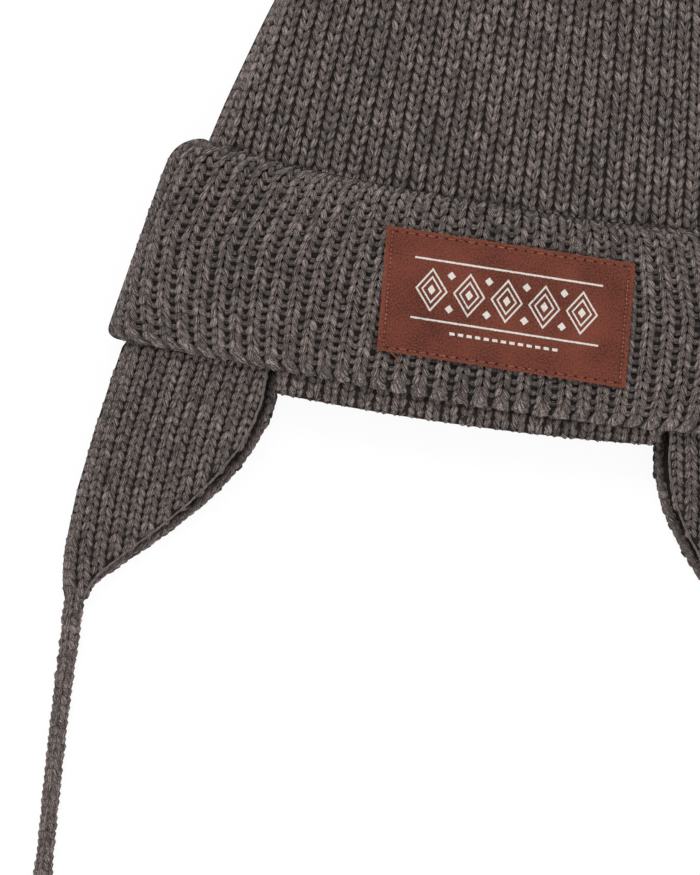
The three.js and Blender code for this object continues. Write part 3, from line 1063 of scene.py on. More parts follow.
@dataclass
class Crown:
    """The hat's body above the cuff: plain knit, drawn together at the top.

    Attributes:
        low_y: Height above the rim where the stitches begin, hidden by the cuff.
        high_y: Height of the crown's top.
        wale_pitch: Width of one wale just above the cuff.
        closing: How much the wales draw together as the crown narrows.
        course_pitch: Height of one course.
        border: Wales that follow each side fold, on either side of the one on the fold itself.
        border_gap: Least distance from those wales to the others, in wales.
        width_at_cuff: Body's width just above the cuff, as a share of its widest.
        shape: Shape of a stitch's leg.
        ground_depth: Depth of the fabric's back under the stitches' crests.
        near_share: Share of that depth that is left at the side folds.
        inside_top: Share of the hat's length that the inside reaches.
    """

    low_y: float = 0.056
    high_y: float = SIZES.length
    wale_pitch: float = 0.00487
    closing: float = 0.45
    course_pitch: float = 0.00296
    border: int = 1
    border_gap: float = 0.16
    width_at_cuff: float = 0.846
    shape: StitchShape = StitchShape()
    ground_depth: float = 0.0017
    near_share: float = 0.06
    inside_top: float = 0.955
    rows: int = 150
    columns: int = 480

    def __post_init__(self) -> None:
        """Works out the skin and the lengths round it."""
        self.heights = np.linspace(self.low_y, self.high_y, self.rows)
        rings = self.sections(self.heights)
        run = run_lengths(rings)
        self.half_rounds = run[:, -1] / 2
        self.to_fold = run[:, self.columns * 3 // 4] - self.half_rounds
        self.skin = Skin(arc_even(rings)[:, :-1], outward=1, looped=True)
        self.courses = np.arange(1, int((self.high_y - self.low_y) / self.course_pitch))

    def sections(self, heights: Array) -> Array:
        """Points round the crown.

        Args:
            heights: Heights above the rim.

        Returns:
            A ring for each height, its first point repeated as the last.
        """
        turn = np.linspace(-1, 1, self.columns + 1)[None, :]
        x, z = body_section(heights[:, None]).at(turn)
        y = np.broadcast_to(heights[:, None], x.shape)
        return np.stack([x, y, z], axis=-1)

    def rings(self, heights: Array) -> Array:
        """Points at even steps round the crown at some heights."""
        return arc_even(self.sections(heights))[:, :-1]

    def pitch_at(self, y: Array) -> Array:
        """Width of a wale.

        Args:
            y: Height above the rim.

        Returns:
            The width, less where the crown narrows.
        """
        up = (y - SIZES.hem_seam) / (SIZES.length - SIZES.hem_seam)
        width = SIZES.body_half_width * body_value(1, up) / (SIZES.body_half_width * self.width_at_cuff)
        return self.wale_pitch * (1 - self.closing * (1 - width))

    def stitches(self, batch: YarnBatch, anchor: int) -> None:
        """Lays the stitches of the front or the back, up to the wales that follow the folds.

        Args:
            batch: Batch that takes them.
            anchor: 0 for the front, 2 for the back.
        """
        y = self.low_y + self.courses * self.course_pitch
        side = np.interp(y, self.heights, self.to_fold)
        half = np.interp(y, self.heights, self.half_rounds)
        reach = side if anchor == 0 else half - side
        wales_across = reach / self.pitch_at(y) - self.border - self.border_gap
        most = int(np.max(wales_across)) + 1
        wale, course = np.meshgrid(np.arange(-most, most + 1), self.courses)
        kept = np.abs(wale) <= wales_across[:, None]
        knit = CrownKnit(self, anchor)
        batch.knit_stitches(knit, wale[kept], course[kept], self.shape)

    def border_stitches(self, batch: YarnBatch, side: int, wales: range) -> None:
        """Lays the wales that follow a side fold.

        Args:
            batch: Batch that takes them.
            side: 1 or -1, the side of the hat.
            wales: Wales counted round the hat from the fold.
        """
        wale, course = np.meshgrid(np.array(wales), self.courses)
        batch.knit_stitches(CrownKnit(self, side), wale, course, self.shape)

    def top_stitches(self, batch: YarnBatch) -> None:
        """Lays the stitches that close the top end.

        Args:
            batch: Batch that takes them.
        """
        knit = TopKnit(self)
        courses = np.arange(0, int(knit.run[-1] / self.course_pitch) + 1)
        wale, course = np.meshgrid(np.arange(knit.wales), courses)
        batch.knit_stitches(knit, wale, course, self.shape)

    def ground(self) -> Piece:
        """Makes the fabric behind the stitches.

        Returns:
            A closed wall from the hem seam to the top, hollow inside.
        """
        columns = 160
        turn = np.linspace(-1, 1, columns + 1)[:-1]
        near = near_fold(turn)[:, None]
        low_part = np.linspace(SIZES.hem_seam, 0.19, 40)
        heights = np.concatenate([low_part, np.linspace(0.194, SIZES.length, 14)])

        def ring(y: float, inset: float) -> Array:
            """Points round the body at a height, moved in by the inset."""
            x, z = body_section(y, inset).at(turn)
            return np.stack([x, np.full_like(x, y), z], axis=-1)

        outside = [
            lerp(ring(y, self.ground_depth), ring(y, self.ground_depth * self.near_share), near)
            for y in heights
        ]
        inside = [ring(y, SIZES.knit_wall) for y in heights[heights < SIZES.length * self.inside_top]]
        rings = np.array(inside[::-1] + outside)
        rows = len(rings)
        faces = shell_faces(rows, columns, False, True)
        low = rings[0].mean(axis=0)
        high = rings[-1].mean(axis=0)
        points = np.concatenate([rings.reshape(-1, 3), [low, high]])
        over = (np.arange(columns) + 1) % columns
        last = (rows - 1) * columns
        faces += [[rows * columns, int(over[c]), c] for c in range(columns)]
        faces += [[rows * columns + 1, last + c, last + int(over[c])] for c in range(columns)]
        return make_piece("crown_ground", points, faces, SHADED_KNIT_BACK.material())

    def build(self) -> list[Piece]:
        """Makes the crown's pieces.

        Returns:
            The pieces.
        """
        front = YarnBatch(11)
        self.stitches(front, 0)
        self.border_stitches(front, -1, range(0, self.border + 1))
        self.border_stitches(front, 1, range(-self.border, 1))
        back = YarnBatch(12, sides=5)
        self.stitches(back, 2)
        self.border_stitches(back, -1, range(-self.border, 0))
        self.border_stitches(back, 1, range(1, self.border + 1))
        top = YarnBatch(13, sides=5)
        self.top_stitches(top)
        pieces = [
            declare(batch.build(f"crown_{place}_stitches", CROWN_YARN), "yarn_crown")
            for place, batch in (("front", front), ("back", back), ("top", top))
        ]
        return pieces + [declare(self.ground(), "yarn_crown", "crown")]


# Cuff


@dataclass
class RibKnit(PartKnit):
    """Rib of the cuff, wales counted in ribs from the middle of the front, courses up the outside."""

    def grid(self, wale: Array, course: Array) -> tuple[Array, Array]:
        """Row and column of the cuff's skin.

        Args:
            wale: Ribs counted across the fabric.
            course: Courses counted along it.

        Returns:
            Row and column coordinates.
        """
        cuff = self.part
        run = course * cuff.course_pitch
        row = np.interp(run, cuff.profile_run, np.arange(cuff.rows))
        turn = 2 * wale / cuff.ribs
        turn = turn - cuff.drift(turn, run / cuff.profile_run[-1])
        return row, (turn + 1) / 2 * cuff.columns


@dataclass
class Cuff:
    """Turned-up band in knit and purl rib, right round the body.

    Attributes:
        course_pitch: Height of one course.
        shape: Leg of a knit stitch on the rib.
        edge_shape: The same where the rib turns round an edge.
        bump: Half thickness of a purl bump.
        bump_depth: Depth of the purl bumps' middles under the ribs' crests.
        ground_depth: Depth of the fabric's back under the crests.
        finger: Half width of the soft round end of a rib at the lower edge.
        near_share: Share of the ground's depth that is left at the side folds.
        edge_courses: Courses that turn round the upper edge.
        purl_start: Course of the first purl bump above the ribs' round ends.
        purl_reach: Half the length of a purl bump, in ribs.
    """

    course_pitch: float = 0.00257
    shape: StitchShape = StitchShape(
        foot=0.095, head=0.3, start=-0.64, stop=0.6, radius=0.00114, end_size=0.62
    )
    edge_shape: StitchShape = StitchShape(foot=0.12, head=0.4, start=-0.64, stop=0.66, radius=0.00108)
    bump: float = 0.001
    bump_depth: float = 0.0017
    ground_depth: float = 0.0021
    finger: float = 0.0031
    near_share: float = 0.06
    edge_courses: float = 4.2
    purl_start: float = 4.0
    purl_reach: float = 0.11
    rows: int = 90
    columns: int = 900

    # How far the ribs wander towards the middle of the front, in millimetres: by share of the way up,
    # and what share of it reaches each place from the middle of the front to that of the back.
    LOWER_DRIFT = ((0.0, 13.0), (0.14, 9.6), (0.28, 4.7), (0.42, 2.0), (0.54, 0.0), (1.0, 0.0))
    LOWER_REACH = ((0.0, 0.0), (0.13, 0.0), (0.3, 0.5), (0.46, 1.0), (0.56, 0.9), (0.85, 0.0), (1.0, 0.0))
    UPPER_DRIFT = ((0.0, 0.0), (0.55, 0.0), (0.68, 1.6), (0.8, 3.6), (0.92, 5.0), (1.0, 5.2))
    UPPER_REACH = ((0.0, 0.0), (0.1, 0.0), (0.2, 0.45), (0.3, 1.0), (0.5, 0.15), (0.6, 0.0), (1.0, 0.0))

    # Profile up the outside, from the inside of the lower edge to the inside of the upper one, as
    # shares of the cuff's height and wall.
    PROFILE = (
        (0.06, 0.0), (0.01, 0.0), (-0.004, 0.45), (0.03, 0.98), (0.1, 1.0), (0.5, 1.0),
        (0.86, 1.0), (0.935, 0.9), (0.985, 0.6), (1.006, 0.1), (0.985, 0.0), (0.95, 0.0),
    )

    # Run, depth and width of a rib's soft round end along its length.
    FINGER_RUN = (0.6, 4.6)
    FINGER_DEPTH = (0.0009, 0.0006)
    FINGER_TAPER = np.array([[0.8, 1.0, 0.7, 0.25]])

    def __post_init__(self) -> None:
        """Works out the skin and the number of ribs."""
        middle = cuff_section(np.float64(SIZES.cuff_low + SIZES.cuff_height / 2), np.float64(0.5))
        fine = np.linspace(-1, 1, 4001)
        x, z = middle.at(fine)
        run = run_lengths(np.stack([x, z], axis=-1))
        self.ribs = int(round(run[-1] / SIZES.rib_pitch))
        self.quarter = run[-1] / 4
        turns = np.interp(np.linspace(0, run[-1], self.columns + 1)[:-1], run, fine)
        self.across = middle.at(turns)[0] / middle.half_width
        profile = self.smooth_profile()
        rings = [self.ring(up, wall, turns) for up, wall in profile]
        self.skin = Skin(np.array(rings), outward=1, looped=True)
        self.walls = profile[:, 1]
        self.profile_run = run_lengths(self.skin.points[:, self.columns // 2])
        self.courses = int(self.profile_run[-1] / self.course_pitch)

    def smooth_profile(self) -> Array:
        """Profile with its corners rounded, in even steps.

        Returns:
            Rows of the share of the height and the share of the wall.
        """
        scale = np.array([SIZES.cuff_height, SIZES.cuff_wall])
        line = np.array(self.PROFILE) * scale
        for _ in range(3):
            low = lerp(line[:-1], line[1:], 0.25)
            high = lerp(line[:-1], line[1:], 0.75)
            cut = np.stack([low, high], axis=1).reshape(-1, 2)
            line = np.concatenate([line[:1], cut, line[-1:]])
        return even_steps(line, self.rows) / scale

    def ring(self, up: float, wall: float, turns: Array) -> Array:
        """One line of the cuff right round the hat.

        Args:
            up: Share of the cuff's height.
            wall: Share of its wall, from the inside out.
            turns: Places round the hat.

        Returns:
            Its points.
        """
        y = cuff_height(up, self.across)
        inner_x, inner_z = body_section(y, -SIZES.clearance).at(turns)
        outer_x, outer_z = cuff_section(y, up).at(turns)
        return np.stack([lerp(inner_x, outer_x, wall), y, lerp(inner_z, outer_z, wall)], axis=-1)

    def drift(self, turn: Array, up: Array) -> Array:
        """How far the ribs wander from straight lines.

        Args:
            turn: Places round the hat, 0 the middle of the front and 1 and -1 that of the back.
            up: Shares of the way up the outside.

        Returns:
            Shifts in the same measure as turn, away from the middle of the back.
        """
        total = np.zeros(np.broadcast(turn, up).shape)
        lower = (self.LOWER_DRIFT, self.LOWER_REACH)
        for drifts, reaches in (lower, (self.UPPER_DRIFT, self.UPPER_REACH)):
            rise, shift = np.array(drifts).T
            place, share = np.array(reaches).T
            total = total + np.interp(up, rise, shift) * MM * np.interp(np.abs(turn), place, share)
        return np.sign(turn) * total / (2 * self.quarter)

    def wales(self, front: bool) -> Array:
        """Ribs of one side, counted from the middle of the front.

        Args:
            front: Whether the front's or the back's are given.

        Returns:
            Places of the ribs' knit columns.
        """
        every = self.ribs / 2 - np.arange(self.ribs) - 0.5
        on_front = np.abs(every) < self.ribs / 4 + 1
        return every[on_front if front else ~on_front]

    def stitches(self, batch: YarnBatch, front: bool) -> None:
        """Lays the knit columns of the ribs.

        Args:
            batch: Batch that takes them.
            front: Whether the front's or the back's are laid.
        """
        knit = RibKnit(self)
        wale, course = np.meshgrid(self.wales(front), np.arange(0.4, self.courses - 0.2))
        edge = course > self.courses - self.edge_courses
        plain = Unevenness(wale=0.012)
        batch.knit_stitches(knit, wale[~edge], course[~edge], self.shape, Chevron.POINT_HIGH, plain)
        batch.knit_stitches(knit, wale[edge], course[edge], self.edge_shape, Chevron.POINT_HIGH, plain)

    def fingers(self, batch: YarnBatch, front: bool) -> None:
        """Lays the soft round ends of the ribs at the lower edge.

        Args:
            batch: Batch that takes them.
            front: Whether the front's or the back's are laid.
        """
        wale = self.wales(front)[:, None]
        count = len(wale)
        share = batch.RINGS[None, :]
        depth, slope = self.FINGER_DEPTH
        batch.lay(
            RibKnit(self),
            wale + batch.rng.normal(0, 0.02, (count, 1)) + 0 * share,
            lerp(*self.FINGER_RUN, share) + batch.rng.normal(0, 0.1, (count, 1)),
            -depth - slope * share + batch.rng.normal(0, 0.0001, (count, 1)),
            self.finger * self.FINGER_TAPER * np.ones((count, 1)),
            flatness=0.4,
        )

    def purl_bumps(self, batch: YarnBatch, front: bool) -> None:
        """Lays the purl bumps in the gaps between the ribs.

        Args:
            batch: Batch that takes them.
            front: Whether the front's or the back's are laid.
        """
        courses = np.arange(self.purl_start, self.courses - 0.5)
        wale, course = np.meshgrid(self.wales(front) + 0.5, courses)
        wale = wale.ravel()[:, None]
        course = course.ravel()[:, None]
        count = len(wale)
        share = batch.RINGS[None, :]
        arc = 4 * share * (1 - share)
        off = batch.rng.normal(0, 0.1, (count, 1))
        batch.lay(
            RibKnit(self),
            wale + lerp(-self.purl_reach, self.purl_reach, share) + batch.rng.normal(0, 0.03, (count, 1)),
            course + off + 0.12 * arc,
            -self.bump_depth - 0.0003 * (1 - arc) + batch.rng.normal(0, 0.00012, (count, 1)),
            self.bump * lerp(0.7, 1, arc) * np.ones((count, 1)),
            flatness=0.9,
        )

    def ground(self) -> Piece:
        """Makes the fabric behind the ribs.

        Returns:
            A closed band.
        """
        step = 4
        depth = (self.ground_depth * np.clip(self.walls * 1.6, 0, 1))[:, None, None]
        turn = np.arange(self.columns) / self.columns * 2 - 1
        depth = depth * (1 - (1 - self.near_share) * near_fold(turn))[None, :, None]
        grid = (self.skin.points - self.skin.normals * depth)[:, ::step]
        rows, columns = grid.shape[:2]
        faces = shell_faces(rows, columns, True, True)
        return make_piece("cuff_ground", grid.reshape(-1, 3), faces, SHADED_KNIT_BACK.material())

    def build(self) -> list[Piece]:
        """Makes the cuff's pieces.

        Returns:
            The pieces.
        """
        pieces = []
        for name, seed, sides, front in (("front", 21, 6, True), ("back", 22, 5, False)):
            ribs = YarnBatch(seed, sides)
            self.stitches(ribs, front)
            self.fingers(ribs, front)
            bumps = YarnBatch(seed + 10, sides)
            self.purl_bumps(bumps, front)
            pieces.append(declare(ribs.build(f"cuff_{name}_ribs", CUFF_YARN), "yarn_cuff"))
            pieces.append(declare(bumps.build(f"cuff_{name}_purls", CUFF_YARN), "yarn_cuff"))
        return pieces + [declare(self.ground(), "yarn_cuff", "cuff")]


# Hem


@dataclass
class HemKnit(PartKnit):
    """Plain knit of a hem strip, wales from its middle, courses up from the rim."""

    def grid(self, wale: Array, course: Array) -> tuple[Array, Array]:
        """Row and column of the hem's skin.

        Args:
            wale: Wales counted across the fabric.
            course: Courses counted along it.

        Returns:
            Row and column coordinates.
        """
        hem = self.part
        row = np.interp(course * hem.course_pitch, hem.profile_run, np.arange(len(hem.profile_run)))
        column = (wale * hem.wale_pitch / SIZES.hem_half_width + 1) / 2 * (hem.columns - 1)
        return row, column


@dataclass
class Hem:
    """Strip of plain knit that shows under the cuff between the ear flaps.

    Attributes:
        front: Whether it is the front's or the back's.
        wale_pitch: Width of one wale.
        course_pitch: Height of one course.
        shape: Leg of a stitch.
        ground_depth: Depth of the fabric's back under the crests.
    """

    front: bool
    wale_pitch: float = 0.0052
    course_pitch: float = 0.0027
    shape: StitchShape = StitchShape(foot=0.11, head=0.32, start=-0.66, stop=0.7, radius=0.00124)
    ground_depth: float = 0.0013
    columns: int = 120

    # Profile from the inside round the rim and up the outside: distance from the rim towards the seam
    # in metres, and share of the wall under the outer face.
    PROFILE = (
        (0.0035, 1.0), (0.0014, 1.0), (0.0004, 0.88), (0.0, 0.6), (0.0, 0.35),
        (0.0005, 0.1), (0.0016, 0.0), (0.005, 0.0), (0.0135, 0.0),
    )

    def __post_init__(self) -> None:
        """Works out the skin."""
        across = np.linspace(-1, 1, self.columns)
        x = across * SIZES.hem_half_width
        rim = -SIZES.hem_sag * (1 - across**2)
        section = body_section(np.float64(SIZES.hem_seam))
        face = section.top(x) if self.front else np.full_like(x, section.bottom)
        inwards = -SIZES.knit_wall if self.front else SIZES.knit_wall
        seam = SIZES.hem_seam - SIZES.clearance
        rows = [
            np.stack([x, np.minimum(rim + rise, seam), face + depth * inwards], axis=-1)
            for rise, depth in self.PROFILE
        ]
        self.skin = Skin(np.array(rows), outward=1 if self.front else -1)
        self.profile_run = run_lengths(self.skin.points[:, self.columns // 2])

    def build(self) -> list[Piece]:
        """Makes the strip's pieces.

        Returns:
            The pieces.
        """
        name = "hem_front" if self.front else "hem_back"
        batch = YarnBatch(31 if self.front else 32)
        most = int(SIZES.hem_half_width / self.wale_pitch)
        courses = np.arange(0.8, self.profile_run[-1] / self.course_pitch - 0.3)
        wale, course = np.meshgrid(np.arange(-most, most + 1), courses)
        batch.knit_stitches(HemKnit(self), wale, course, self.shape)
        strip = declare(batch.build(f"{name}_stitches", FLAP_YARN), "yarn_hem")
        return [strip, declare(self.ground(f"{name}_ground"), "yarn_hem", name)]

    def ground(self, name: str) -> Piece:
        """Makes the fabric behind the stitches.

        Args:
            name: Name of the piece.

        Returns:
            A closed flat strip.
        """
        depth = np.interp(np.arange(len(self.PROFILE)), [0, 1, 6, 8], [0, 0, 1, 1])[:, None, None]
        grid = self.skin.points - self.skin.normals * self.ground_depth * depth
        rows, columns = grid.shape[:2]
        faces = shell_faces(rows, columns, True, False)
        faces.append([row * columns for row in range(rows)])
        faces.append([row * columns + columns - 1 for row in range(rows)][::-1])
        return make_piece(name, grid.reshape(-1, 3), faces, SHADED_KNIT_BACK.material())


# Cords and edges that run along a line


@dataclass
class RopeKnit(Knit):
    """Round knitted rope along a line, wales counted round it from its top.

    Attributes:
        line: Points of the centreline.
        radius: Radius of the crests.
        wales: Wales round it.
        course_pitch: Length of one course.
        turn: Wale that lies on top.
        flare: How much wider the rope is at its start, as a share. Without it that end is rounded off.
    """

    line: Array
    radius: float
    wales: int
    course_pitch: float
    turn: float = 0.0
    columns: int = 32
    flare: float = 0.0

    def __post_init__(self) -> None:
        """Works out the skin, with its plain ends rounded off."""
        run = run_lengths(self.line)
        count = max(8, int(run[-1] / (0.5 * MM)))
        wanted = np.linspace(0, run[-1], count)
        middle = even_steps(self.line, count)
        along = unit(np.gradient(middle, axis=0))
        side = unit(np.cross(along, np.array([0.0, 0.0, 1.0])))
        up = np.cross(side, along)
        to_end = run[-1] - wanted if self.flare else np.minimum(wanted, run[-1] - wanted)
        swell = np.sqrt(np.clip(1 - (1 - np.minimum(to_end / self.radius, 1)) ** 2, 0.02, 1))
        wide = 1 + self.flare * np.exp(-wanted / (8 * self.radius))
        angle = 2 * np.pi * np.arange(self.columns) / self.columns
        ring = np.sin(angle)[:, None] * (side * wide[:, None])[:, None, :]
        ring = ring + np.cos(angle)[:, None] * up[:, None, :]
        points = middle[:, None, :] + self.radius * swell[:, None, None] * ring
        self.skin = Skin(points, looped=True)
        self.length = run[-1]
        self.steps = count

    def grid(self, wale: Array, course: Array) -> tuple[Array, Array]:
        """Row and column of the rope's skin at a wale and a course."""
        row = course * self.course_pitch / self.length * (self.steps - 1)
        return row, (wale + self.turn) / self.wales * self.columns

    def core(self, name: str, depth: float) -> Piece:
        """Makes the rope's inside.

        Args:
            name: Name of the piece.
            depth: Depth under the crests.

        Returns:
            A closed round cord.
        """
        centre = self.skin.points.mean(axis=1)
        share = 1 - depth / self.radius
        grid = centre[:, None] + (self.skin.points - centre[:, None]) * share
        grid = grid[::3, ::2]
        rows, columns = grid.shape[:2]
        faces = shell_faces(rows, columns, False, True)
        faces.append(list(range(columns))[::-1])
        faces.append([(rows - 1) * columns + c for c in range(columns)])
        return make_piece(name, grid.reshape(-1, 3), faces, SHADED_KNIT_BACK.material())


def smooth_route(points: Array, steps: int = 12) -> Array:
    """Catmull-Rom curve through points.

    Args:
        points: Points of the route.
        steps: Steps between two of them.

    Returns:
        Points of the curve.
    """
    first = 2 * points[:1] - points[1:2]
    last = 2 * points[-1:] - points[-2:-1]
    padded = np.concatenate([first, points, last])
    t = np.linspace(0, 1, steps, endpoint=False)[:, None]
    parts = []
    for a, b, c, d in zip(padded[:-3], padded[1:-2], padded[2:-1], padded[3:]):
        cubic = 2 * b + (c - a) * t + (2 * a - 5 * b + 4 * c - d) * t**2
        parts.append(0.5 * (cubic + (3 * b - a - 3 * c + d) * t**3))
    return np.concatenate(parts + [points[-1:]])


@dataclass
class Tie:
    """Round knitted cord from a flap's tip.

    Attributes:
        side: 1 or -1, the side of the hat.
        wales: Wales round it.
        course_pitch: Length of one course.
        shape: Leg of a stitch.
        core_depth: Depth of the inside under the crests.
        root: How far it runs up into the flap's tip.
        flare: How much wider it starts, as a share.
        plump: How far its crests stand out of its diameter.
    """

    side: int
    wales: int = 4
    course_pitch: float = 0.00242
    shape: StitchShape = StitchShape(
        foot=0.13, head=0.39, start=-0.74, stop=0.7, radius=0.00108, dip=0.0006, head_dip=0.0004
    )
    core_depth: float = 0.0013
    root: float = 0.004
    flare: float = 0.2
    plump: float = 0.00018

    @property
    def radius(self) -> float:
        """Radius of the knitted cord, with the soft surface that stands out of its middle."""
        return SIZES.tie_diameter / 2 + self.plump

    def route(self) -> Array:
        """Centreline on the floor.

        Returns:
            Points in the hat's own frame.
        """
        x = self.side * (SIZES.flap_fold_x + (RIGHT_TIE_OUT if self.side > 0 else LEFT_TIE_OUT))
        y = TIE_ALONG - SIZES.flap_length
        return smooth_route(np.stack([x, y, np.full_like(x, self.radius)], axis=-1))

    def build(self) -> list[Piece]:
        """Makes the cord's pieces.

        Returns:
            The pieces.
        """
        name = "tie_right" if self.side > 0 else "tie_left"
        line = self.route()
        root = line[:1] + np.array([0.0, self.root, 0.0])
        line_from_root = np.concatenate([root, line])
        rope = RopeKnit(line_from_root, self.radius, self.wales, self.course_pitch, flare=self.flare)
        batch = YarnBatch(41 + self.side)
        courses = np.arange(0.2, rope.length / self.course_pitch - 0.4)
        wale, course = np.meshgrid(np.arange(self.wales), courses)
        batch.knit_stitches(rope, wale, course, self.shape)
        cord = declare(batch.build(f"{name}_stitches", TIE_YARN), "yarn_tie", name)
        core = declare(rope.core(f"{name}_core", self.core_depth), "yarn_tie")
        return [cord, core]


# Ear flaps


@dataclass
class FlapKnit(PartKnit):
    """Plain knit of an ear flap, wales from its side fold, courses down from the hem seam.

    Wales above nothing lie on the upper half and wales below nothing on the lower half.
    """

    def grid(self, wale: Array, course: Array) -> tuple[Array, Array]:
        """Row and column of the flap's skin.

        Args:
            wale: Wales counted across the fabric.
            course: Courses counted along it.

        Returns:
            Row and column coordinates.
        """
        flap = self.part
        row = flap.row_at(course)
        rows = np.arange(flap.rows)
        upper = np.interp(row, rows, flap.upper_widths)
        lower = np.interp(row, rows, flap.lower_widths)
        share = wale * flap.wale_pitch / np.where(wale >= 0, upper, lower)
        return row, (1 + share) * (flap.half_columns - 1)


@dataclass
class EarFlap:
    """Ear flap of plain knit, folded in half along the hat's side.

    Attributes:
        side: 1 or -1, the side of the hat.
        wale_pitch: Width of one wale.
        course_pitch: Height of one course.
        shape: Leg of a stitch.
        ground_depth: Depth of the fabric's back under the crests.
        selvedge: Radius of the lower half's rolled edge.
        rim: Radius of the pale thread along the upper half's edge, a lighter copy of the yarn that is a
            painted highlight on that edge.
        rim_lift: Height of that thread over the skin.
        upper_gap: Distance kept from the upper half's edge, in wales.
        lower_gap: The same for the lower half's.
        near_share: Share of the ground's depth that is left at the side fold.
    """

    side: int
    wale_pitch: float = 0.0044
    course_pitch: float = 0.00252
    shape: StitchShape = StitchShape(foot=0.1, head=0.36, start=-0.62, stop=0.66, radius=0.00104)
    ground_depth: float = 0.0016
    selvedge: float = 0.0018
    rim: float = 0.00045
    rim_lift: float = -0.0005
    upper_gap: float = 0.05
    lower_gap: float = 0.3
    near_share: float = 0.06
    rows: int = 90
    half_columns: int = 60

    def __post_init__(self) -> None:
        """Works out the skin and the widths of both halves."""
        start = -(SIZES.hem_seam - SIZES.clearance) / SIZES.flap_length
        self.downs = np.linspace(start, 1, self.rows)
        self.skin = Skin(self.grid_at(0.0), outward=self.side)
        middle = self.half_columns - 1
        runs = run_lengths(self.skin.points)
        self.lower_widths = runs[:, middle]
        self.upper_widths = runs[:, -1] - runs[:, middle]

    def row_at(self, course: Array) -> Array:
        """Row of the skin at a course, which is counted down from the hem seam."""
        down = self.downs[0] + course * self.course_pitch / SIZES.flap_length
        return (down - self.downs[0]) / (self.downs[-1] - self.downs[0]) * (self.rows - 1)

    def grid_at(self, inset: float) -> Array:
        """Grid of points of the folded flap.

        Args:
            inset: Depth under its outer face.

        Returns:
            Points, rows down the flap, columns from the lower free edge round the fold to the upper.
        """
        return np.array([self.line(down, inset) for down in self.downs])

    def line(self, down: float, inset: float) -> Array:
        """One line across the folded flap.

        Args:
            down: Share of the way from the rim to the tip.
            inset: Depth under the outer face.

        Returns:
            Its points, from the lower half's free edge round the fold to the upper half's.
        """
        first = np.array([self.downs[0], 0.0, 0.0, 1.0, 1.0])
        first[1] = (SIZES.body_half_width - SIZES.clearance - SIZES.flap_fold_x) / SIZES.flap_flare
        table = np.concatenate([first[None], FLAP_ROWS])
        flare, taper, back, front = (np.interp(down, table[:, 0], table[:, c]) for c in range(1, 5))
        mouth = body_section(np.float64(SIZES.hem_seam))
        bottom = mouth.bottom * back
        closed = 2 * SIZES.flap_tip_wall + SIZES.clearance
        top = lerp(closed, mouth.bottom + 2 * mouth.half_height, front)
        half_height = (top - bottom) / 2
        tip_edge = SIZES.flap_fold_x - SIZES.flap_tip_inset
        edge = lerp(SIZES.hem_half_width + SIZES.clearance, tip_edge, taper)
        upper_edge = edge + SIZES.flap_edge_step * (1 - taper**4)
        fold_x = SIZES.flap_fold_x + SIZES.flap_flare * flare
        fold = min(SIZES.flap_fold, half_height, SIZES.most_folded * (fold_x - upper_edge))
        flat = fold_x - fold
        reach = max(fold - inset, SIZES.least_fold * fold)
        straight = 29
        turned = 24
        angle = np.linspace(-np.pi / 2, np.pi / 2, turned + 1)
        under = np.linspace(edge, flat, straight + 1)[:-1]
        above = np.linspace(flat, upper_edge, straight + 1)[1:]
        x = np.concatenate([under, flat + reach * np.cos(angle), above])
        height = np.concatenate([np.full(straight, -1.0), np.sin(angle), np.ones(straight)])
        bow = mouth.arch * front * np.clip(1 - (x / mouth.half_width) ** 2, 0, None)
        z = bottom + half_height + (half_height - inset) * height + np.clip(height, 0, None) * bow
        points = np.stack([self.side * x, np.full_like(x, -down * SIZES.flap_length), z], axis=-1)
        apex = straight + turned // 2
        lower = even_steps(points[: apex + 1], self.half_columns)
        upper = even_steps(points[apex:], self.half_columns)
        return np.concatenate([lower, upper[1:]])

    def stitches(self, batch: YarnBatch) -> None:
        """Lays the stitches of both halves.

        Args:
            batch: Batch that takes them.
        """
        knit = FlapKnit(self)
        last = int((self.downs[-1] - self.downs[0]) * SIZES.flap_length / self.course_pitch)
        most = int(SIZES.flap_fold_x / self.wale_pitch)
        wale, course = np.meshgrid(np.arange(-most, most + 1), np.arange(0.5, last + 0.5))
        rows = np.arange(self.rows)
        row = self.row_at(course)
        upper = np.interp(row, rows, self.upper_widths) / self.wale_pitch
        lower = np.interp(row, rows, self.lower_widths) / self.wale_pitch
        kept = (wale < upper - self.upper_gap) & (wale > -lower + self.lower_gap)
        batch.knit_stitches(knit, wale[kept], course[kept], self.shape)

    def edge_line(self, upper: bool, lift: float, inwards: float) -> Array:
        """Line along a free edge.

        Args:
            upper: Whether it is the upper half's edge or the lower half's.
            lift: Height over the skin, outwards.
            inwards: Distance from the edge.

        Returns:
            Points from the hem down to the tip.
        """
        column = -1 if upper else 0
        next_column = -2 if upper else 1
        edge = self.skin.points[:, column]
        into = unit(self.skin.points[:, next_column] - edge)
        return edge + into * inwards + self.skin.normals[:, column] * lift

    def edge(self, batch: YarnBatch, upper: bool) -> None:
        """Lays the rolled edge of one half.

        Args:
            batch: Batch that takes its stitches.
            upper: Whether it is the upper half's edge or the lower half's.
        """
        radius = self.rim if upper else self.selvedge
        lift = self.rim_lift if upper else -0.6 * SIZES.flap_wall
        line = self.edge_line(upper, lift, radius * 0.8)
        rope = RopeKnit(line, radius, 3, self.course_pitch, turn=0.3)
        courses = np.arange(0.4, rope.length / self.course_pitch - 0.3)
        wale, course = np.meshgrid(np.arange(3), courses)
        shape = StitchShape(foot=0.12, head=0.42, radius=radius * 0.6, dip=0.0002, head_dip=0.0001)
        batch.knit_stitches(rope, wale, course, shape)

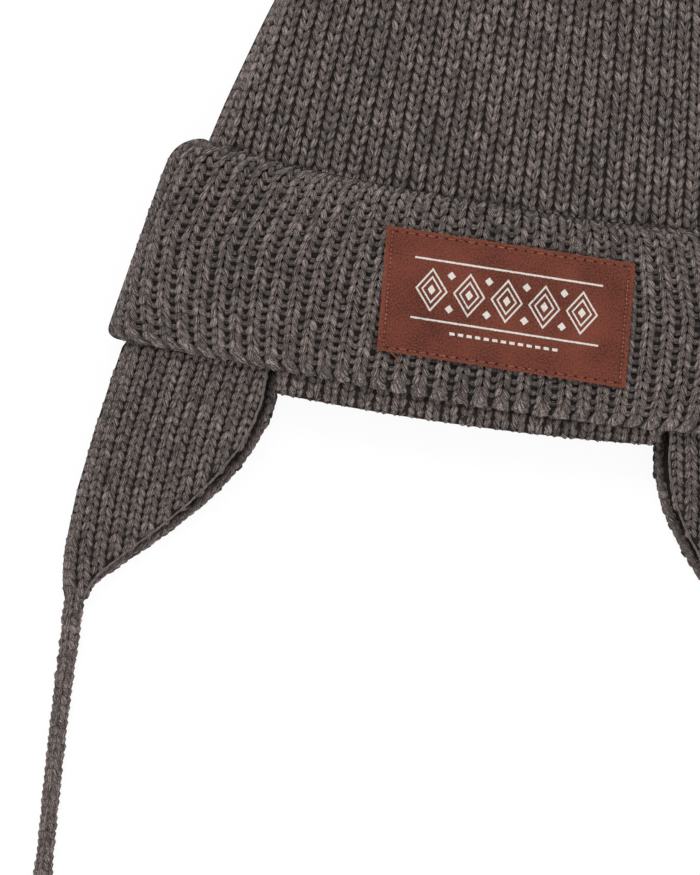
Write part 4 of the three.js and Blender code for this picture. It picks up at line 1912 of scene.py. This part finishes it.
    def ground(self, name: str) -> Piece:
        """Makes the fabric behind the stitches.

        Args:
            name: Name of the piece.

        Returns:
            A closed folded wall.
        """
        outside = self.grid_at(self.ground_depth)[::2, ::3]
        close = self.grid_at(self.ground_depth * self.near_share)[::2, ::3]
        place = np.linspace(-1, 1, outside.shape[1])[None, :, None]
        # Near the fold and the upper edge the back, painted dark as shade, comes up to the face and shows
        # as a dark line.
        near = np.exp(-((place / 0.06) ** 2)) + 0.6 * np.exp(-(((1 - place) / 0.05) ** 2))
        outside = lerp(outside, close, near)
        inside = self.grid_at(SIZES.flap_tip_wall)[::2, ::3][:, ::-1]
        grid = np.concatenate([outside, inside], axis=1)
        rows, columns = grid.shape[:2]
        faces = shell_faces(rows, columns, False, True)
        for row in (0, rows - 1):
            start = row * columns
            for c in range(columns // 2 - 1):
                cap = [start + c, start + c + 1, start + columns - 2 - c, start + columns - 1 - c]
                faces.append(cap[::-1] if row == 0 else cap)
        return make_piece(name, grid.reshape(-1, 3), faces, SHADED_KNIT_BACK.material())

    def build(self) -> list[Piece]:
        """Makes the flap's pieces.

        Returns:
            The pieces.
        """
        name = "ear_flap_right" if self.side > 0 else "ear_flap_left"
        cloth = YarnBatch(51 + self.side)
        self.stitches(cloth)
        edge = YarnBatch(61 + self.side)
        self.edge(edge, upper=False)
        # Pale thread along the upper edge, painted as a highlight.
        rim = YarnBatch(63 + self.side)
        self.edge(rim, upper=True)
        layers = (("stitches", cloth, FLAP_YARN), ("edge", edge, FLAP_YARN), ("rim", rim, RIM_HIGHLIGHT_YARN))
        pieces = [
            declare(batch.build(f"{name}_{place}", yarn), "yarn_flap") for place, batch, yarn in layers
        ]
        return pieces + [declare(self.ground(f"{name}_ground"), "yarn_flap", name)]


# Label


@dataclass(frozen=True)
class Seam:
    """Stitching along the label's edges, in metres.

    Attributes:
        inset: Distance from the upper and lower edges.
        side_inset: Distance from the left and right edges.
        pitch: Stitch length along the upper and lower edges.
        side_pitch: Stitch length along the left and right edges.
        dent: How deep it draws the cloth in.
        thread: Half the sewing thread's thickness.
    """

    inset: float = 0.0013
    side_inset: float = 0.0019
    pitch: float = 0.003
    side_pitch: float = 0.0013
    dent: float = 0.00045
    thread: float = 0.00034


SEAM = Seam()


@dataclass(frozen=True)
class LabelFinish(Finish):
    """Woven cloth of the label, with an ornament of lozenges between lines.

    Attributes:
        body: Main colour of the cloth.
        dark: Colour in the hollows of the weave.
        worn: Colour of the rubbed edges.
        thread: Colour of the ornament.
        seam_shadow: Painted shadow along the seam, darkest in its needle holes.
        pitch: Spacing of the weave's threads, in metres.
    """

    name: str = "label_weave"
    body: Colour = (0.187, 0.047, 0.028)
    dark: Colour = (0.026, 0.006, 0.004)
    worn: Colour = (0.23, 0.067, 0.036)
    thread: Colour = (0.68, 0.64, 0.58)
    seam_shadow: Colour = (0.012, 0.003, 0.002)
    pitch: float = 0.00036

    # Ornament, in millimetres from the label's middle: the cells that lozenges stand in, half a
    # lozenge's width and height, the small lozenges' size and level, the thin lines, and the dashes.
    CELL = 11.4
    CELLS = 5
    LOZENGE = (4.9, 6.6)
    LOZENGE_BANDS = ((0.87, 1.0), (0.52, 0.64), (-1.0, 0.24))
    SMALL = 1.3
    SMALL_LEVEL = 5.0
    MIDDLE = 1.6
    LINE = 9.0
    LINE_HALF = 0.28
    DASH_LEVEL = -10.6
    DASH_PITCH = 2.6
    DASH_HALF = 0.42
    DASH_REACH = 17.0

    def paint(self, nodes: Nodes) -> None:
        """Adds the nodes of the woven cloth.

        Args:
            nodes: Tree that takes the nodes.
        """
        uv = nodes.add("UVMap", {"uv_map": "label"}).outputs[0]
        place = nodes.add("SeparateXYZ", i0=uv).outputs
        turns = 2 * math.pi / self.pitch
        warp = nodes.math("SINE", nodes.times(place[0], turns))
        weft = nodes.math("SINE", nodes.times(place[1], turns * 1.35))
        grain = nodes.noise(uv, 1900.0, Detail=3.0, Roughness=0.75)
        cloud = nodes.noise(uv, 60.0, Detail=2.0)
        weave = nodes.times(nodes.total(warp, weft), 0.12)
        share = nodes.total(weave, nodes.contrast(grain, 6.0), nodes.contrast(cloud, 2.4, middle=0.28))
        plain = nodes.blend(nodes.ramp(share, -1.0, 1.5), self.dark, self.body)
        rubbed = nodes.blend(self.edge_mask(nodes, place, grain), plain, self.worn)
        figure = nodes.times(self.ornament(nodes, place, grain), nodes.ramp(share, -1.1, 0.0))
        # Painted shadow along the seam and in its needle holes.
        seam_shadowed = nodes.blend(self.seam_mask(nodes, place), rubbed, self.seam_shadow)
        height = nodes.total(share, nodes.times(figure, 1.2))
        nodes.dress(nodes.blend(figure, seam_shadowed, self.thread), height, 0.0002, strength=0.7)
        nodes.plain(Roughness=0.7, Specular_IOR_Level=0.2)

    def edge_mask(self, nodes: Nodes, place: list, grain: Socket) -> Socket:
        """Where the label is rubbed lighter along its edges.

        Args:
            nodes: Tree that takes the nodes.
            place: Places on the label along both of its sides, in metres.
            grain: Noise of the weave.

        Returns:
            Mask from 0 to 1.
        """
        ways = []
        for axis, size in ((0, SIZES.label_width), (1, SIZES.label_height)):
            from_edge = nodes.minus(size / 2, nodes.off(place[axis]))
            ways.append(nodes.fade(from_edge, 0.0004, 0.0024))
        return nodes.times(nodes.largest(*ways), nodes.times(nodes.ramp(grain, 0.35, 0.65), 0.6))

    def seam_mask(self, nodes: Nodes, place: list) -> Socket:
        """The seam's shadow, darkest at the needle holes between its stitches.

        Args:
            nodes: Tree that takes the nodes.
            place: Places on the label along both of its sides, in metres.

        Returns:
            Mask from 0 to 1.
        """
        to_sides = SIZES.label_width / 2 - SEAM.side_inset
        to_ends = SIZES.label_height / 2 - SEAM.inset
        rows = []
        for axis, level, limit, pitch in (
            (0, to_sides, to_ends, SEAM.side_pitch),
            (1, to_ends, to_sides, SEAM.pitch),
        ):
            line = nodes.fade(nodes.off(nodes.off(place[axis]), level), 0.00012, 0.0005)
            other = place[1 - axis]
            stitch = nodes.math("COSINE", nodes.times(other, 2 * math.pi / pitch))
            holes = nodes.times(nodes.ramp(stitch, -0.9, -0.2), -0.62)
            within = nodes.fade(nodes.off(other), limit, limit + 0.0004)
            rows.append(nodes.times(nodes.times(line, nodes.total(holes, 0.95)), within))
        return nodes.largest(*rows)

    def ornament(self, nodes: Nodes, place: list, grain: Socket) -> Socket:
        """A row of nested lozenges between thin lines, with dashes below.

        Args:
            nodes: Tree that takes the nodes.
            place: Places on the label along both of its sides, in metres.
            grain: Noise that makes the outlines uneven.

        Returns:
            Mask from 0 to 1.
        """
        rough = nodes.contrast(grain, 0.5)
        u = nodes.total(nodes.times(place[0], 1 / MM), rough)
        v = nodes.minus(nodes.total(nodes.times(place[1], 1 / MM), rough), self.MIDDLE)
        from_middle = nodes.off(u)
        from_level = nodes.off(v)

        def band(value: Socket, low: float, high: float, soft: float) -> Socket:
            """1 where the value lies between two limits."""
            return nodes.minus(
                nodes.ramp(value, low - soft, low + soft), nodes.ramp(value, high - soft, high + soft)
            )

        def lozenge(offset: float, level: float, width: float, height: float) -> Socket:
            """Distance from the middle of the nearest lozenge, 1 on its outline."""
            along = nodes.minus(u, offset)
            cell = nodes.math("ROUND", nodes.math("DIVIDE", along, self.CELL))
            across = nodes.math("DIVIDE", nodes.off(along, nodes.times(cell, self.CELL)), width)
            return nodes.total(across, nodes.math("DIVIDE", nodes.off(from_level, level), height))

        reach = self.CELL * self.CELLS / 2
        large = lozenge(0.0, 0.0, *self.LOZENGE)
        small = lozenge(self.CELL / 2, self.SMALL_LEVEL, self.SMALL, self.SMALL)
        between = nodes.fade(from_middle, reach - 3.0, reach - 2.9)
        row = nodes.largest(
            *[band(large, low, high, 0.03) for low, high in self.LOZENGE_BANDS],
            nodes.times(band(small, -1.0, 1.0, 0.1), between),
            band(from_level, self.LINE - self.LINE_HALF, self.LINE + self.LINE_HALF, 0.1),
        )
        row = nodes.times(row, nodes.fade(from_middle, reach - 0.1, reach + 0.1))
        dash = nodes.math("COSINE", nodes.times(u, 2 * math.pi / self.DASH_PITCH))
        level = nodes.off(v, self.DASH_LEVEL - self.MIDDLE)
        dashes = nodes.times(nodes.ramp(dash, -0.5, -0.2), band(level, -1.0, self.DASH_HALF, 0.1))
        short = nodes.fade(from_middle, self.DASH_REACH - 0.1, self.DASH_REACH)
        return nodes.largest(row, nodes.times(dashes, short))


LABEL_CLOTH = LabelFinish()
LABEL_THREAD = YarnFinish(
    "label_thread",
    shade=(0.06, 0.016, 0.01),
    body=(0.22, 0.062, 0.035),
    lit=(0.4, 0.13, 0.075),
    ply_depth=0.0001,
    hollow=0.3,
)


@dataclass
class LabelKnit(Knit):
    """The label's face, with places in millimetres from its middle in place of wales and courses."""

    label: "Label"

    def at(self, wale: Array, course: Array) -> tuple[Array, Array]:
        """Point and normal of the label's face.

        Args:
            wale: Places along the label.
            course: Places up the label.

        Returns:
            Points and unit normals.
        """
        u, v = wale * MM, course * MM
        lift = SIZES.label_wall + self.label.relief(u, v)
        points = self.label.place(u, v, lift)
        return points, np.broadcast_to(np.array([0.0, 0.0, 1.0]), points.shape)


@dataclass
class Label:
    """Woven patch sewn on the front of the cuff.

    Attributes:
        lean: How far the label's short edges are pulled out of square by the knit.
        slip: How far it is sewn off its place along Y.
        dent_width: Width of the dent along the seam.
        rounding: Width and depth of its rounded edges.
        wave: Depth of its waves.
        tail: Half the thickness of the loose end of thread.
    """

    lean: float = math.radians(3.1)
    slip: float = -0.0006
    dent_width: float = 0.0005
    rounding: tuple[float, float] = (0.0004, 0.0003)
    wave: float = 0.0001
    tail: float = 0.00022
    columns: int = 120
    rows: int = 60

    # Loose end of the sewing thread under the lower left corner, in millimetres from the middle.
    TAIL = ((-34.2, -17.6), (-33.4, -18.9), (-32.0, -19.9), (-30.9, -21.4))

    def relief(self, u: Array, v: Array) -> Array:
        """How far the label's face lies under its highest level.

        Args:
            u: Places along the label from its middle.
            v: Places up the label from its middle.

        Returns:
            Lift, nothing or less.
        """
        off_side = np.maximum(SIZES.label_width / 2 - np.abs(u), 0)
        off_end = np.maximum(SIZES.label_height / 2 - np.abs(v), 0)
        side = np.exp(-(((off_side - SEAM.side_inset) / self.dent_width) ** 2))
        end = np.exp(-(((off_end - SEAM.inset) / self.dent_width) ** 2))
        pucker = 0.75 + 0.25 * np.cos(2 * np.pi * u / SEAM.pitch)
        rounding_width, rounding_depth = self.rounding
        rounded = np.exp(-np.minimum(off_side, off_end) / rounding_width)
        wave = self.wave * np.sin(u / 0.0047) * np.sin(v / 0.0059 + 1)
        drawn = np.maximum(side * 0.7, end * pucker)
        return -SEAM.dent * drawn - rounding_depth * rounded + np.minimum(wave, 0)

    def sewing(self) -> Piece:
        """Makes the thread that holds the label.

        Returns:
            Its short visible lengths as one piece.
        """
        batch = YarnBatch(71, sides=5)
        knit = LabelKnit(self)
        share = batch.RINGS[None, :]
        arc = 4 * share * (1 - share)
        to_sides = (SIZES.label_width / 2 - SEAM.side_inset) / MM
        to_ends = (SIZES.label_height / 2 - SEAM.inset) / MM
        for along_side, pitch, reach, level in (
            (False, SEAM.pitch / MM, to_sides, to_ends),
            (True, SEAM.side_pitch / MM, to_ends, to_sides),
        ):
            most = int(reach / pitch)
            count = 2 * most + 1
            start = (np.arange(count)[:, None] - most) * pitch
            along = start + 0.7 * pitch * (share - 0.5)
            lift = 0.00012 * arc + np.zeros((count, 1))
            radius = SEAM.thread * (0.7 + 0.3 * arc) + np.zeros((count, 1))
            for sign in (-1, 1):
                across = sign * level + batch.rng.normal(0, 0.05, (count, 1)) + 0 * share
                u, v = (across, along) if along_side else (along, across)
                batch.lay(knit, u, v, lift, radius, flatness=0.8)
        u, v = np.array(self.TAIL).T[:, None]
        batch.lay(knit, u, v, np.zeros((1, 4)), np.full((1, 4), self.tail), flatness=1.0)
        return batch.build("label_thread", LABEL_THREAD)

    def place(self, u: Array, v: Array, lift: float) -> Array:
        """Points on the cuff's front.

        Args:
            u: Places along the label from its middle.
            v: Places up the label from its middle.
            lift: Height over the cuff's crests.

        Returns:
            Points in the hat's own frame.
        """
        cos, sin = math.cos(SIZES.label_turn), math.sin(SIZES.label_turn)
        x = SIZES.label_x + u * cos - v * math.sin(self.lean)
        y = SIZES.label_y + self.slip + u * sin + v * cos
        section = cuff_section(y, (y - SIZES.cuff_low) / SIZES.cuff_height)
        return np.stack([x, y, section.top(x) + SIZES.clearance + lift], axis=-1)

    def build(self) -> list[Piece]:
        """Makes the label's pieces.

        Returns:
            The sheet and its thread.
        """
        bpy.ops.object.select_all(action="DESELECT")
        bpy.ops.mesh.primitive_grid_add(x_subdivisions=self.columns, y_subdivisions=self.rows, size=1.0)
        patch = bpy.context.active_object
        patch.name = "label_patch"
        mesh = patch.data
        flat = np.empty(len(mesh.vertices) * 3)
        mesh.vertices.foreach_get("co", flat)
        flat = flat.reshape(-1, 3)
        u = flat[:, 0] * SIZES.label_width
        v = flat[:, 1] * SIZES.label_height
        lift = SIZES.label_wall + self.relief(u, v)
        points = self.place(u, v, lift) + np.array([0.0, HAT_ORIGIN_Y, 0.0])
        mesh.vertices.foreach_set("co", points.ravel())
        layer = mesh.uv_layers.new(name="label")
        corner = np.empty(len(mesh.loops), dtype=np.int32)
        mesh.loops.foreach_get("vertex_index", corner)
        layer.data.foreach_set("uv", np.stack([u[corner], v[corner]], axis=-1).ravel())
        mesh.uv_layers.active = layer
        wall = patch.modifiers.new("wall", "SOLIDIFY")
        wall.thickness = SIZES.label_wall / 2
        wall.offset = -1.0
        bpy.ops.object.modifier_apply(modifier=wall.name)
        bpy.ops.object.shade_smooth_by_angle(angle=math.radians(40))
        patch.data.materials.append(LABEL_CLOTH.material())
        declare(patch, "label_cloth", "label")
        return [patch, declare(self.sewing(), "label_cloth")]


# Scene


@dataclass(frozen=True)
class FloorFinish(Finish):
    """Pale floor that looks over-exposed, as on a light table.

    Attributes:
        bleach: How far it is over-exposed.
    """

    bleach: float

    def paint(self, nodes: Nodes) -> None:
        """Adds the nodes of the floor.

        Args:
            nodes: Tree that takes the nodes.
        """
        nodes.plain(Base_Color=(0.93, 0.93, 0.93, 1.0), Roughness=0.9, Specular_IOR_Level=0.1)
        seen = nodes.times(nodes.add("LightPath").outputs["Is Camera Ray"], self.bleach)
        glow = nodes.add("Emission", Color=(1.0, 1.0, 1.0, 1.0), Strength=1.0).outputs[0]
        mixed = nodes.add("MixShader", i0=seen, i1=nodes.surface.outputs[0], i2=glow).outputs[0]
        nodes.tree.links.new(mixed, nodes.tree.nodes["Material Output"].inputs["Surface"])


@dataclass
class Studio:
    """Pale floor, soft light and a camera that looks straight down.

    Attributes:
        lens: Focal length in millimetres.
        distance: Camera's height above the middle of the hat's thickness.
        middle_z: Height of that middle.
        aim: Place on the floor under the camera.
        turn: Turn of the picture against the hat.
        bleach: How far the floor is over-exposed.
    """

    lens: float = 200.0
    distance: float = 1.473
    middle_z: float = 0.012
    aim: tuple[float, float] = (-0.0341, -0.0805)
    turn: float = math.radians(7.8)
    bleach: float = 0.92

    def build(self) -> None:
        """Sets up the camera, the floor and the light."""
        self.camera()
        self.floor()
        self.light()

    def camera(self) -> None:
        """Adds the camera."""
        data = bpy.data.cameras.new("camera")
        data.lens = self.lens
        data.sensor_width = 36.0
        data.sensor_fit = "AUTO"
        data.clip_start = 0.05
        data.clip_end = 20.0
        camera = bpy.data.objects.new("camera", data)
        camera.location = (self.aim[0], self.aim[1], self.middle_z + self.distance)
        camera.rotation_euler = (0.0, 0.0, self.turn)
        bpy.context.scene.collection.objects.link(camera)
        bpy.context.scene.camera = camera

    def floor(self) -> None:
        """Adds the floor."""
        bpy.ops.object.select_all(action="DESELECT")
        bpy.ops.mesh.primitive_plane_add(size=8.0, location=(0.0, 0.0, -0.0003))
        floor = bpy.context.active_object
        floor.name = "floor"
        material = FloorFinish("pale_floor", self.bleach).material()
        floor.data.materials.append(material)

    def light(self) -> None:
        """Adds the soft light of a white studio."""
        world = bpy.context.scene.world or bpy.data.worlds.new("studio")
        bpy.context.scene.world = world
        world.use_nodes = True
        background = world.node_tree.nodes["Background"]
        background.inputs["Color"].default_value = (1.0, 1.0, 1.0, 1.0)
        background.inputs["Strength"].default_value = 0.95
        for name, place, size, energy in (
            ("key", (-0.5, 0.9, 1.6), 0.7, 16.0),
            ("fill", (0.9, -0.5, 1.5), 1.4, 5.0),
        ):
            data = bpy.data.lights.new(name, "AREA")
            data.size = size
            data.energy = energy
            lamp = bpy.data.objects.new(name, data)
            lamp.location = place
            lamp.rotation_euler = (-lamp.location).to_track_quat("-Z", "Y").to_euler()
            bpy.context.scene.collection.objects.link(lamp)
        bpy.context.scene.view_settings.view_transform = "Standard"


def main() -> None:
    """Builds the hat in its studio and reports each of its pieces."""
    logging.basicConfig(level=logging.INFO, format="%(name)s %(message)s")
    Studio().build()
    parts = (Tie(-1), Tie(1), Crown(), Cuff(), Hem(True), Hem(False), EarFlap(-1), EarFlap(1), Label())
    for part in parts:
        for piece in part.build():
            LOG.info("%s: %d faces", piece.name, len(piece.data.polygons))


if __name__ == "__main__":
    main()
